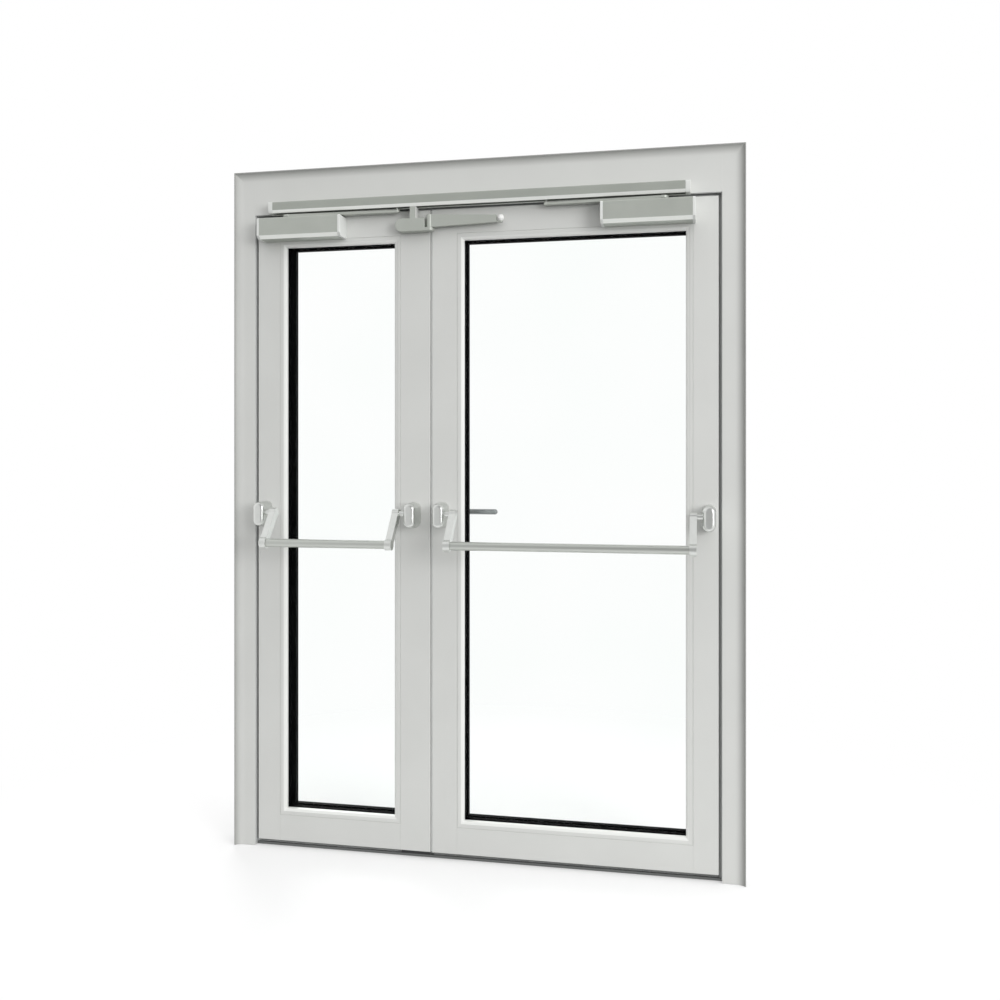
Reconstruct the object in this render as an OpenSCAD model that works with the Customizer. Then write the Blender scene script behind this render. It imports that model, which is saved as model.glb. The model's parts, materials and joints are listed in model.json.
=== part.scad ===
// Two-leaf glazed emergency exit door with frame, push bars, closers and guide rail.
// Millimetres. X to the right as seen from the push side, Y away from the push side, Z up.
// Zero is on the floor, half way across the frame and half way through its depth.

/* [Frame] */
// Width over the frame profiles
frame_w = 1538; // [1400:2:1900]
// Height from the floor to the top of the head
frame_h = 2100; // [1950:5:2400]
// Depth of the frame profiles
frame_d = 70; // [66:1:80]
// Visible width of each jamb
jamb_w = 52; // [46:1:70]
// Visible height of the head
head_h = 120; // [100:1:150]
// Width of the stop lip in front of the leaf edge
lip_w = 15; // [13:0.5:20]
// Depth of the stop lip
lip_d = 20; // [16:1:24]
// Wall of the hollow profiles
wall_t = 2.5; // [2:0.1:3.5]
// Thickness of the stop gasket
stop_gasket_t = 6; // [4:0.5:8]
// Thickness of the gasket leg along the lip edge
stop_leg_t = 2; // [1:0.25:3]
// Set back of the gasket leg behind the frame face
stop_leg_back = 2; // [1:0.5:4]
// Free space between the stop gasket and the closed leaf
stop_clear = 1; // [0.5:0.1:2]
// Height of the threshold
threshold_h = 8; // [6:0.5:12]
// Set back of the threshold behind the frame front
threshold_back = 15; // [10:1:18]
// Reach of the splayed trim around the frame
trim_s = 11; // [8:1:20]
// Sheet thickness of the trim
trim_t = 2; // [1.5:0.1:3]
// Depth of the trim leg along the frame side
trim_leg = 26; // [15:1:30]
// Radius of the wall fixing holes in the jambs
fix_r = 5.25; // [4:0.25:7]
// Height of the lowest fixing hole
fix_z = 225; // [150:5:300]
// Distance of the topmost fixing hole below the top of the head
fix_top = 225; // [150:5:300]
// Distance of the fixing holes behind mid depth
fix_y = 10; // [0:1:16]

/* [Leaves] */
// Depth of the leaf profiles
leaf_d = 65; // [62:1:74]
// Set back of the leaf face behind the frame face
leaf_setback = 3; // [0:0.5:6]
// Visible gap between leaf and frame
face_gap = 10; // [8:0.5:13]
// Gap between leaf flange and frame behind the stop
rear_gap = 7; // [5:0.5:9]
// Height of the leaf bottom over the floor
leaf_floor = 21; // [18:1:28]
// Distance of the meeting line to the left of the middle
meet_offset = 145; // [0:1:220]
// Gap between the two leaves
meet_gap = 6.5; // [6.2:0.1:9]
// Visible width of both hinge stiles without the bead
hinge_stile_w = 72; // [66:1:90]
// Visible width of the meeting stile on the inactive leaf
inactive_stile_w = 94; // [84:1:110]
// Visible width of the meeting stile on the active leaf
active_stile_w = 77; // [70:1:95]
// Visible height of the top rails
top_rail_w = 74; // [72:1:95]
// Visible height of the bottom rails
bottom_rail_w = 80; // [70:1:120]
// Width of the glazing beads
bead_w = 20; // [17:0.5:26]
// Depth of the glazing beads
bead_d = 18; // [16:0.5:20]
// Fall of the bead face towards the glass
bead_drop = 8; // [3:0.5:10]
// Wall of the beads
bead_wall = 2; // [1.5:0.1:2.5]
// Gasket edge seen round the glass
gasket_lip = 2.5; // [2:0.1:4]
// Further reach of the gasket edge behind the glass
gasket_rear_lip = 2; // [0:0.25:4]
// Gasket thickness in front of the glass
gasket_front_t = 4; // [3:0.25:5]
// Gasket thickness behind the glass
gasket_rear_t = 3; // [2:0.25:4]
// Thickness of each pane
pane_t = 5; // [4:0.5:6]
// Space between the panes
pane_gap = 14; // [10:1:14]
// Cover of the pane edge in the rebate
pane_cover = 12; // [9:1:14]
// Height of the brush under each leaf
brush_h = 11; // [9:0.5:12]
// Thickness of the brush under each leaf
brush_t = 12; // [8:1:16]
// Set back of the brush behind the leaf face
brush_back = 12; // [8:1:20]
// Reach of the rear meeting seal into the gap
meet_seal_reach = 2.75; // [1.5:0.25:2.75]
// Width of the rear meeting seal
meet_seal_w = 9; // [6:0.5:12]
// Reach of the front meeting seal into the gap
meet_lip_reach = 3.2; // [2:0.1:3.3]
// Width of the front meeting seal
meet_lip_w = 6; // [4:0.5:8]
// Set back of both meeting seals behind the leaf faces
meet_seal_back = 3; // [2:0.5:5]

/* [Hinges] */
// Radius of the hinge knuckles
knuckle_r = 10; // [9:0.25:12]
// Radius of the hinge pins
hinge_pin_r = 6; // [5:0.25:7]
// Radial clearance in the hinge knuckles
hinge_clear = 0.3; // [0.2:0.05:0.5]
// Height of one knuckle
knuckle_h = 34; // [26:1:42]
// Distance of the hinge axis behind the frame
hinge_out = 12; // [11:0.5:15]
// Height of the lowest hinge
hinge_z = 230; // [180:5:320]
// Distance of the topmost hinge below the leaf top
hinge_top = 240; // [180:5:320]
// Width of each hinge plate
hinge_plate_w = 28; // [22:1:32]
// Thickness of the frame side hinge plate
hinge_plate_t = 4; // [3:0.25:5]

/* [Closers] */
// Length of each closer
closer_length = 270; // [240:2:300]
// Height of each closer
closer_h = 64; // [56:1:70]
// Depth of each closer
closer_d = 60; // [52:1:62]
// Distance of the closer top below the leaf top
closer_drop = 13; // [12:0.5:16]
// Chamfer along the lower front edge of the closer
closer_chamfer = 10; // [4:0.5:14]
// Chamfer along the upper front edge of the closer
closer_top_chamfer = 3; // [1:0.5:6]
// Thickness of the closer end caps
closer_cap_t = 8; // [6:1:14]
// Distance of the spindle from the hinge side end of the closer
spindle_inset = 90; // [70:1:110]
// Distance of the active spindle from its hinge axis
active_spindle_x = 176; // [165:1:185]
// Distance of the inactive spindle from its hinge axis
inactive_spindle_x = 132; // [125:1:140]
// Length of the arm on the active leaf
active_arm_l = 342; // [335:1:350]
// Run left free between the inactive arm's resting tip and the selector
inactive_arm_run = 35.5; // [34:0.5:45]
// Thickness of the closer arms
arm_t = 8; // [6:0.5:9]
// Free height between closer and arm
arm_clear = 4; // [3:0.25:5]
// Radius of the arm hub
arm_hub_r = 14; // [12:0.5:16]
// Half width of the arm at its tip
arm_tip_r = 8; // [7:0.25:9]
// Radius of the spindle
spindle_r = 8; // [6:0.25:10]
// Radial clearance round the spindle
spindle_clear = 0.3; // [0.2:0.05:0.5]
// Depth of the spindle seat in the closer
spindle_seat = 12; // [8:1:20]

/* [Guide rail] */
// Height of the guide rail
rail_h = 34; // [30:1:38]
// Projection of the guide rail
rail_d = 38; // [36:0.5:42]
// Overhang of the rail below the head
rail_drop = 5; // [3:0.5:5.5]
// Distance of the rail's left end from the frame side
rail_left_in = 126; // [80:1:150]
// Distance of the rail's right end from the frame side
rail_right_in = 155; // [80:1:200]
// Chamfer along the lower front edge of the rail
rail_chamfer = 9; // [2:0.5:9.5]
// Width of the running channel
channel_w = 28; // [27:0.5:30]
// Width of the slot below the channel
slot_w = 21; // [20.5:0.25:22]
// Thickness of the channel lips
slot_t = 3; // [2.5:0.25:4]
// Thickness of the channel top
rail_roof = 4; // [3:0.25:6]
// Length of the rail end caps
rail_cap_l = 14; // [8:1:18]
// Radius of the roller pin
roller_pin_r = 4; // [3:0.25:4.25]
// Radius of the roller
roller_r = 7; // [6:0.25:8]
// Height of the roller
roller_h = 12; // [8:0.5:16]

/* [Sequence selector] */
// Height of the selector block
selector_h = 39; // [34:1:42]
// Depth of the selector block
selector_d = 28; // [22:1:30]
// Distance of the selector block below the leaf top
selector_drop = 30; // [26:1:34]
// Length of the block to the left of the pivot
selector_l = 104; // [90:1:115]
// Length of the lug between the block and the pivot
selector_lug_l = 12; // [11:0.5:22]
// Width of the hanger under the rail
selector_hanger_w = 20; // [16:1:48]
// Distance of the hanger from the pivot end of the block
selector_hanger_in = 26; // [0:1:30]
// Length of the selector arm
selector_arm_l = 219; // [180:1:240]
// Height of the arm at the pivot
selector_arm_h = 38; // [34:1:42]
// Height of the arm at the roller
selector_tip_h = 22; // [18:1:28]
// Thickness of the selector arm
selector_arm_t = 12; // [8:1:14]
// Radius of the selector pivot pin
selector_pin_r = 5; // [4:0.25:6]
// Radial clearance round the selector pivot
selector_clear = 0.3; // [0.2:0.05:0.5]
// Wall of the arm hub round the pivot pin
selector_hub_t = 4; // [3:0.25:8]
// Length of the roller bracket past the arm
selector_fork_l = 14; // [12:0.5:18]
// Thickness of the roller bracket
selector_fork_t = 4; // [3:0.25:6]
// Radius of the roller axle
selector_axle_r = 3; // [2:0.25:4]
// Radius of the selector roller
selector_roller_r = 10; // [8:0.5:12]

/* [Push bars] */
// Height of the lock and of the bar axle
lock_z = 1050; // [1000:5:1100]
// Width of the oval housings
housing_w = 40; // [36:1:50]
// Height of the oval housings
housing_h = 78; // [70:1:90]
// Depth of the oval housings
housing_d = 66; // [62:1:74]
// Radius of the rounded shoulder round the housing front
housing_q = 10; // [4:0.5:11.5]
// Draft of the housing sides
housing_draft = 2.5; // [0:0.25:4]
// Distance of the hinge side housings from the leaf edge
hinge_backset = 27; // [24:0.5:40]
// Distance of the active lock side housing from the meeting edge
active_backset = 32; // [30:0.5:40]
// Distance of the inactive meeting side housing from the meeting edge
inactive_backset = 50; // [40:0.5:56]
// Offset of the levers from the housings
lever_in = 44; // [40:0.5:50]
// Thickness of the levers
lever_t = 20; // [14:0.5:22]
// Forward reach of the levers
lever_reach = 72; // [62:1:85]
// Fall of the levers
lever_fall = 88; // [75:1:100]
// Distance of the lever axle in front of the leaf face
axle_out = 46; // [42:0.5:46]
// Radius of the lever hub
lever_hub_r = 14; // [12.5:0.5:16]
// Radius of the lever axle
axle_r = 8; // [6:0.25:9]
// Radial clearance round the lever axle
axle_clear = 0.3; // [0.2:0.05:0.5]
// Depth of the axle seat in the housing
axle_seat = 15; // [10:1:20]
// Radius of the push bar tube
bar_r = 12.5; // [11:0.25:14]
// Wall of the push bar tube
bar_wall = 2; // [1.5:0.1:3]
// Wall of the lever round the tube
lever_eye = 4; // [3:0.25:5]
// Thickness of the tube end caps
bar_cap_t = 3; // [2:0.25:5]

/* [Outside lever] */
// Radius of the handle rose
rose_r = 26; // [22:0.5:28]
// Thickness of the handle rose
rose_t = 8; // [6:0.5:10]
// Radius of the handle neck
neck_r = 9; // [8:0.25:11]
// Length of the handle neck
neck_l = 48; // [42:1:60]
// Length of the handle from its spindle
handle_l = 147; // [120:1:150]
// Radius of the handle grip
grip_r = 8.5; // [8:0.25:11]
// Radial clearance of the neck in the rose
neck_clear = 0.3; // [0.2:0.05:0.5]
// Distance of the key cylinder below the handle
cylinder_drop = 72; // [70:1:92]
// Projection of the key cylinder
cylinder_out = 12; // [10:0.5:15]

/* [Bolts] */
// Width of the lock forend and its keep
forend_w = 22; // [20:0.5:26]
// Height of the lock forend and its keep
forend_h = 240; // [200:5:280]
// Reach of the lock case above the spindle
lock_case_up = 40; // [30:1:50]
// Reach of the lock case below the spindle
lock_case_down = 60; // [40:1:80]
// Height of the latch
latch_h = 28; // [20:1:34]
// Thickness of the latch
latch_t = 14; // [10:0.5:16]
// Length of the latch
latch_l = 42; // [30:1:50]
// Reach of the resting latch into the meeting gap
latch_out = 3; // [2:0.25:3.5]
// Clearance round the latch
latch_clear = 0.5; // [0.3:0.05:0.8]
// Radius of the shoot bolts
bolt_r = 6; // [5:0.25:7]
// Radial clearance round the shoot bolts
bolt_clear = 0.3; // [0.2:0.05:0.5]
// Length of the bolt guides
guide_l = 40; // [25:1:60]
// Reach of the resting top bolt over the leaf
bolt_top_out = 2.5; // [1.5:0.25:3]
// Reach of the resting bottom bolt below the leaf
bolt_bottom_out = 12; // [11.2:0.1:12]
// Length of the shoot bolts
bolt_l = 620; // [400:10:700]
// Radius of the bolt sockets in head and threshold
socket_r = 8; // [7.2:0.1:9]
// Depth of the bolt guides under the leaf
foot_h = 10; // [8:0.5:11]

/* [Hidden] */
$fn = 64;
fx = frame_w / 2;
fix_pitch = (frame_h - fix_z - fix_top) / 3;
yF = -frame_d / 2;
yB = frame_d / 2;
lip_in = fx - jamb_w;
tube_in = lip_in + lip_w;
leaf_out = lip_in - face_gap;
flange_out = tube_in - rear_gap;
zLip = frame_h - head_h;
zTube = zLip + lip_w;
leaf_top = zLip - face_gap;
flange_top = zTube - rear_gap;
yLip = yF + lip_d;
yStep = yLip + stop_gasket_t + stop_clear;
yLf = yF + leaf_setback;
yLb = yLf + leaf_d;
yBead = yLf + bead_d;
yGf = yBead + gasket_front_t;
yGr = yGf + 2 * pane_t + pane_gap;
yFl = yGr + gasket_rear_t;
st_h = leaf_out - hinge_stile_w;
fl_h = st_h - bead_w;
gx1 = fl_h - gasket_lip;
st_b = leaf_floor + bottom_rail_w;
fl_b = st_b + bead_w;
gz0 = fl_b + gasket_lip;
st_t = leaf_top - top_rail_w;
fl_t = st_t - bead_w;
gz1 = fl_t - gasket_lip;
hx = (tube_in + flange_out) / 2;
hy = yB + hinge_out;
z_hinges = [hinge_z, (hinge_z + leaf_top - hinge_top) / 2, leaf_top - hinge_top];
closer_top = leaf_top - closer_drop;
closer_y = yLf - closer_d / 2;
arm_z = closer_top + arm_clear;
rail_left = fx - rail_left_in;
rail_right = fx - rail_right_in;
rail_z = zLip - rail_drop;
rail_y = yF - rail_d / 2;
channel_z = rail_z + slot_t;
roller_z = channel_z + 2;
sel_x = -meet_offset;
sel_hanger = meet_offset + selector_lug_l + selector_hanger_in + selector_hanger_w;
inactive_reach = hx - inactive_spindle_x - sel_hanger - arm_tip_r - inactive_arm_run;
sel_top = leaf_top - selector_drop;
sel_z = sel_top - selector_h;
sel_lug = sel_z + 10;
sel_arm_z = sel_lug + 1;
sel_pin_top = sel_arm_z + selector_arm_h + 3;
housing_z = lock_z - 5;
axle_y = yLf - axle_out;
bar_y = axle_y - lever_reach;
bar_z = lock_z - lever_fall;
x_house_h = leaf_out - hinge_backset;
bolt_x = inactive_stile_w / 2;
bolt_y = (yLf + yLb) / 2;
bevel = trim_t * 1.4142;

// Edge of a leaf at the meeting line, with the hinge side turned to the right
function meet_edge(s) = s * -meet_offset + meet_gap / 2;
// Visible width of a leaf's meeting stile
function meet_w(s) = s > 0 ? active_stile_w : inactive_stile_w;
// Rebate wall on the meeting side
function st_m(s) = meet_edge(s) + meet_w(s);
// Flange edge on the meeting side
function fl_m(s) = st_m(s) + bead_w;
// Sight line on the meeting side
function gx0(s) = fl_m(s) + gasket_lip;
// Spindle position of a closer
function spindle_x(s) = hx - (s > 0 ? active_spindle_x : inactive_spindle_x);
// Arm length of a closer
function arm_l(s) = s > 0 ? active_arm_l : sqrt(pow(inactive_reach, 2) + pow(rail_y - closer_y, 2));
// Place of the housing on the meeting stile
function x_house_m(s) = meet_edge(s) + (s > 0 ? active_backset : inactive_backset);

// Turns a left leaf so that its hinge side lies on the right
module side(s) {
  mirror([s < 0 ? 1 : 0, 0, 0]) children();
}

// Box between two corners
module box(a, b) {
  translate(a) cube(b - a);
}

// Cylinder along X from x0 to x1
module rod_x(x0, x1, y, z, r) {
  translate([x0, y, z]) rotate([0, 90, 0]) cylinder(r = r, h = x1 - x0);
}

// Cylinder along Y from y0 to y1
module rod_y(x, y0, y1, z, r) {
  translate([x, y1, z]) rotate([90, 0, 0]) cylinder(r = r, h = y1 - y0);
}

// Section in Y and Z drawn along X
module along_x(x0, x1) {
  translate([x0, 0, 0]) rotate([90, 0, 90]) linear_extrude(height = x1 - x0) children();
}

// Outline in X and Z drawn along Y
module along_y(y0, y1) {
  translate([0, y1, 0]) rotate([90, 0, 0]) linear_extrude(height = y1 - y0) children();
}

// Rectangular ring seen from the front
module ring_y(y0, y1, o, i) {
  difference() {
    box([o[0], y0, o[1]], [o[2], y1, o[3]]);
    box([i[0], y0 - 1, i[1]], [i[2], y1 + 1, i[3]]);
  }
}

// Hollow jamb with its stop lip, right hand
module jamb() {
  w = wall_t;
  difference() {
    linear_extrude(height = frame_h) difference() {
      polygon([[lip_in, yF], [fx, yF], [fx, yB], [tube_in, yB], [tube_in, yLip], [lip_in, yLip]]);
      polygon([[lip_in + w, yF + w], [fx - w, yF + w], [fx - w, yB - w], [tube_in + w, yB - w],
        [tube_in + w, yLip - w], [lip_in + w, yLip - w]]);
    }
    for (i = [0:3]) rod_x(tube_in - 1, fx + 1, fix_y, fix_z + i * fix_pitch, fix_r);
  }
}

module jamb_left() {
  color("#d4d4d2") mirror([1, 0, 0]) jamb();
}

module jamb_right() {
  color("#d4d4d2") jamb();
}

// Hollow head between the jambs, notched round their lips
module frame_head() {
  w = wall_t;
  color("#d4d4d2") difference() {
    along_x(-tube_in, tube_in) difference() {
      polygon([[yF, zLip], [yLip, zLip], [yLip, zTube], [yB, zTube], [yB, frame_h], [yF, frame_h]]);
      polygon([[yF + w, zLip + w], [yLip - w, zLip + w], [yLip - w, zTube + w], [yB - w, zTube + w],
        [yB - w, frame_h - w], [yF + w, frame_h - w]]);
    }
    for (s = [-1, 1]) side(s) box([lip_in, yF - 1, zLip - 1], [tube_in + 1, yLip, frame_h + 1]);
    translate([-meet_edge(-1) - bolt_x, bolt_y, zTube - 1]) cylinder(r = socket_r, h = w + 2);
  }
}

// Flat threshold with a socket for the bottom bolt
module threshold() {
  yT = yF + threshold_back;
  color("#3a3b3b") difference() {
    linear_extrude(height = threshold_h) polygon([[-lip_in, yT], [lip_in, yT], [lip_in, yLip],
      [tube_in, yLip], [tube_in, yB], [-tube_in, yB], [-tube_in, yLip], [-lip_in, yLip]]);
    translate([-meet_edge(-1) - bolt_x, bolt_y, -1]) cylinder(r = socket_r, h = threshold_h + 2);
  }
}

// Rubber stop behind the lips on three sides, with a leg along the lip edges
module stop_gasket() {
  x0 = leaf_out + 2;
  z1 = leaf_top + 4;
  xl = lip_in - stop_leg_t;
  zl = zLip - stop_leg_t;
  yl = yF + stop_leg_back;
  color("#8a8c8c") {
    for (s = [-1, 1]) side(s) {
      box([x0, yLip, threshold_h], [tube_in, yLip + stop_gasket_t, zTube]);
      box([xl, yl, threshold_h], [lip_in, yLip + 1, zLip]);
    }
    box([-x0, yLip, z1], [x0, yLip + stop_gasket_t, zTube]);
    box([-xl, yl, zl], [xl, yLip + 1, zLip]);
  }
}

// Section of the splayed trim, u outward and v in depth
module trim_section() {
  polygon([[0, yF + trim_leg], [0, yF], [trim_s, yF - trim_s], [trim_s + bevel, yF - trim_s],
    [trim_t, yF + bevel - trim_t], [trim_t, yF + trim_leg]]);
}

// Upright trim, right hand, mitred at its top
module trim_side() {
  e = trim_s + bevel;
  intersection() {
    translate([fx, 0, 0]) linear_extrude(height = frame_h + e) trim_section();
    along_y(yF - trim_s - 1, yF + trim_leg + 1) polygon([[fx - 1, -1], [fx + e + 1, -1],
      [fx + e + 1, frame_h + e + 1], [fx - 1, frame_h - 1]]);
  }
}

module trim_left() {
  color("#d8d8d6") mirror([1, 0, 0]) trim_side();
}

module trim_right() {
  color("#d8d8d6") trim_side();
}

module trim_head() {
  e = trim_s + bevel;
  color("#d8d8d6") intersection() {
    along_x(-fx - e, fx + e) translate([0, frame_h]) mirror([1, -1]) trim_section();
    along_y(yF - trim_s - 1, yF + trim_leg + 1) polygon([[-fx + 1, frame_h - 1], [fx - 1, frame_h - 1],
      [fx + e + 1, frame_h + e + 1], [-fx - e - 1, frame_h + e + 1]]);
  }
}

// Outer section of the guide rail
module rail_section() {
  k = rail_chamfer;
  y0 = yF - rail_d;
  z1 = rail_z + rail_h;
  polygon([[yF, rail_z], [yF, z1], [y0 + 2, z1], [y0, z1 - 2], [y0, rail_z + k], [y0 + k / 2, rail_z]]);
}

// Guide rail with an undercut channel, open below
module guide_rail() {
  c = channel_w / 2;
  g = slot_w / 2;
  color("#a9ada8") along_x(-rail_left, rail_right) difference() {
    rail_section();
    translate([rail_y - g, rail_z - 1]) square([slot_w, slot_t + 2]);
    translate([rail_y - c, channel_z]) square([channel_w, rail_h - slot_t - rail_roof]);
  }
}

module rail_caps() {
  color("#dcdedb") {
    along_x(rail_right, rail_right + rail_cap_l) rail_section();
    along_x(-rail_left - rail_cap_l, -rail_left) rail_section();
  }
}

// Frame side of the three hinges: plate, outer knuckles and pin, right hand
module knuckles_frame() {
  for (z = z_hinges) translate([hx, hy, z]) {
    t = hinge_out;
    difference() {
      union() {
        for (k = [-1.5, 0.5]) translate([0, 0, k * knuckle_h]) {
          cylinder(r = knuckle_r, h = knuckle_h);
          translate([0, -t, 0]) cube([knuckle_r, t, knuckle_h]);
        }
        translate([knuckle_r / 2, -t, -1.5 * knuckle_h])
          cube([hinge_plate_w, hinge_plate_t, 3 * knuckle_h]);
      }
      translate([-knuckle_r - 1, -t - 1, -knuckle_h / 2 - 0.5])
        cube([2 * knuckle_r + 1, 2 * t + 20, knuckle_h + 1]);
    }
    translate([0, 0, -1.5 * knuckle_h]) cylinder(r = hinge_pin_r, h = 3 * knuckle_h);
  }
}

module hinge_knuckles_left() {
  color("#b9bbb9") mirror([1, 0, 0]) knuckles_frame();
}

module hinge_knuckles_right() {
  color("#b9bbb9") knuckles_frame();
}

// Leaf side of the three hinges
module knuckles_leaf() {
  for (z = z_hinges) translate([hx, hy, z]) {
    t = hy - yLb;
    difference() {
      union() {
        translate([0, 0, -knuckle_h / 2]) cylinder(r = knuckle_r, h = knuckle_h);
        translate([-knuckle_r, -t, -knuckle_h / 2]) cube([knuckle_r, t, knuckle_h]);
        translate([-knuckle_r / 2 - hinge_plate_w, -t, -1.5 * knuckle_h])
          cube([hinge_plate_w - knuckle_r, hinge_plate_t, 3 * knuckle_h]);
        translate([-2 * knuckle_r, -t, -knuckle_h / 2])
          cube([2 * knuckle_r, hinge_plate_t, knuckle_h]);
      }
      translate([0, 0, -knuckle_h]) cylinder(r = hinge_pin_r + hinge_clear, h = 2 * knuckle_h);
    }
  }
}

// Block of the sequence selector, hung under the rail
module selector_block() {
  r = selector_h / 2;
  y0 = rail_y - selector_d / 2;
  y1 = rail_y + selector_d / 2;
  xe = sel_x - selector_lug_l;
  color("#a4a8a3") {
    rod_y(sel_x - selector_l + r, y0, y1, sel_z + r, r);
    box([sel_x - selector_l + r, y0, sel_z], [xe, y1, sel_top]);
    box([-sel_hanger, y0, sel_top - 1], [-sel_hanger + selector_hanger_w, y1, rail_z]);
    box([xe - 1, y0, sel_z], [sel_x, y1, sel_lug]);
    translate([sel_x, rail_y, sel_z]) cylinder(r = selector_d / 2, h = sel_lug - sel_z);
    translate([sel_x, rail_y, sel_z]) cylinder(r = selector_pin_r, h = sel_pin_top - sel_z);
  }
}

// Tapered arm of the selector on its pivot
module selector_arm() {
  a = selector_arm_h;
  b = selector_tip_h;
  m = sel_arm_z + a * 0.45;
  f = selector_fork_l;
  t = selector_fork_t;
  xt = sel_x + selector_arm_l;
  xa = xt - f + 2;
  hub = selector_pin_r + selector_hub_t;
  color("#a4a8a3") difference() {
    union() {
      translate([sel_x, rail_y, sel_arm_z]) cylinder(r = hub, h = a);
      along_y(rail_y - selector_arm_t / 2, rail_y + selector_arm_t / 2) polygon([[sel_x, sel_arm_z],
        [xa - f, m - b / 2], [xa, m - b / 2], [xa, m + b / 2], [xa - f, m + b / 2],
        [sel_x, sel_arm_z + a]]);
      translate([xt - f, rail_y - selector_axle_r, m - b / 2]) cube([f, 2 * selector_axle_r, t]);
      translate([xt, rail_y, m - b / 2]) cylinder(r = 2 * selector_axle_r, h = t);
      translate([xt, rail_y, m - b / 2]) cylinder(r = selector_axle_r, h = b);
    }
    translate([sel_x, rail_y, sel_arm_z - 1])
      cylinder(r = selector_pin_r + selector_clear, h = a + 2);
  }
}

// Barrel shaped roller at the end of the selector arm
module selector_roller() {
  r = selector_roller_r;
  b = selector_tip_h;
  m = sel_arm_z + selector_arm_h * 0.45;
  a = selector_axle_r;
  h = b - selector_fork_t;
  translate([sel_x + selector_arm_l, rail_y, m + b / 2 - h]) color("#f0f0f0") rotate_extrude()
    polygon([[a, 0], [r * 0.6, 0], [r, h * 0.3], [r, h * 0.7], [r * 0.6, h], [a, h]]);
}

// Hollow hinge stile with the glazing flange and the flange behind the stop
module hinge_stile() {
  w = wall_t;
  difference() {
    translate([0, 0, leaf_floor]) linear_extrude(height = flange_top - leaf_floor) difference() {
      polygon([[fl_h, yLb], [flange_out, yLb], [flange_out, yStep], [leaf_out, yStep], [leaf_out, yLf],
        [st_h, yLf], [st_h, yFl], [fl_h, yFl]]);
      polygon([[fl_h + w, yLb - w], [flange_out - w, yLb - w], [flange_out - w, yStep + w],
        [leaf_out - w, yStep + w], [leaf_out - w, yLf + w], [st_h + w, yLf + w], [st_h + w, yFl + w],
        [fl_h + w, yFl + w]]);
    }
    box([fl_h - 1, yLf - 1, leaf_top], [flange_out + 1, yStep, flange_top + 1]);
  }
}

// Hollow meeting stile with a window for the forend or keep
module meeting_stile(s) {
  w = wall_t;
  e = meet_edge(s);
  difference() {
    translate([0, 0, leaf_floor]) linear_extrude(height = flange_top - leaf_floor) difference() {
      polygon([[e, yLf], [st_m(s), yLf], [st_m(s), yFl], [fl_m(s), yFl], [fl_m(s), yLb], [e, yLb]]);
      polygon([[e + w, yLf + w], [st_m(s) - w, yLf + w], [st_m(s) - w, yFl + w],
        [fl_m(s) - w, yFl + w], [fl_m(s) - w, yLb - w], [e + w, yLb - w]]);
    }
    box([e - 1, yLf - 1, leaf_top], [fl_m(s) + 1, yStep, flange_top + 1]);
    box([e - 1, bolt_y - forend_w / 2, lock_z - forend_h / 2],
      [e + w, bolt_y + forend_w / 2, lock_z + forend_h / 2]);
  }
}

// Hollow top rail between the stiles
module top_rail(s) {
  w = wall_t;
  difference() {
    along_x(st_m(s), st_h) difference() {
      polygon([[yLf, st_t], [yLf, leaf_top], [yStep, leaf_top], [yStep, flange_top], [yLb, flange_top],
        [yLb, fl_t], [yFl, fl_t], [yFl, st_t]]);
      polygon([[yLf + w, st_t + w], [yLf + w, leaf_top - w], [yStep + w, leaf_top - w],
        [yStep + w, flange_top - w], [yLb - w, flange_top - w], [yLb - w, fl_t + w], [yFl + w, fl_t + w],
        [yFl + w, st_t + w]]);
    }
    box([st_m(s) - 1, yFl, fl_t - 1], [fl_m(s), yLb + 1, flange_top + 1]);
    box([fl_h, yFl, fl_t - 1], [st_h + 1, yLb + 1, flange_top + 1]);
  }
}

// Hollow bottom rail between the stiles
module bottom_rail(s) {
  w = wall_t;
  difference() {
    along_x(st_m(s), st_h) difference() {
      polygon([[yLf, leaf_floor], [yLf, st_b], [yFl, st_b], [yFl, fl_b], [yLb, fl_b], [yLb, leaf_floor]]);
      polygon([[yLf + w, leaf_floor + w], [yLf + w, st_b - w], [yFl + w, st_b - w], [yFl + w, fl_b - w],
        [yLb - w, fl_b - w], [yLb - w, leaf_floor + w]]);
    }
    box([st_m(s) - 1, yFl, leaf_floor - 1], [fl_m(s), yLb + 1, fl_b + 1]);
    box([fl_h, yFl, leaf_floor - 1], [st_h + 1, yLb + 1, fl_b + 1]);
  }
}

// Section of a bead, u from the glass side outward
module bead_section() {
  w = bead_wall;
  difference() {
    polygon([[0, yLf + bead_drop], [bead_w, yLf], [bead_w, yBead], [0, yBead]]);
    polygon([[w, yLf + bead_drop + w], [bead_w - w, yLf + w * 1.5], [bead_w - w, yBead - w], [w, yBead - w]]);
  }
}

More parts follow.
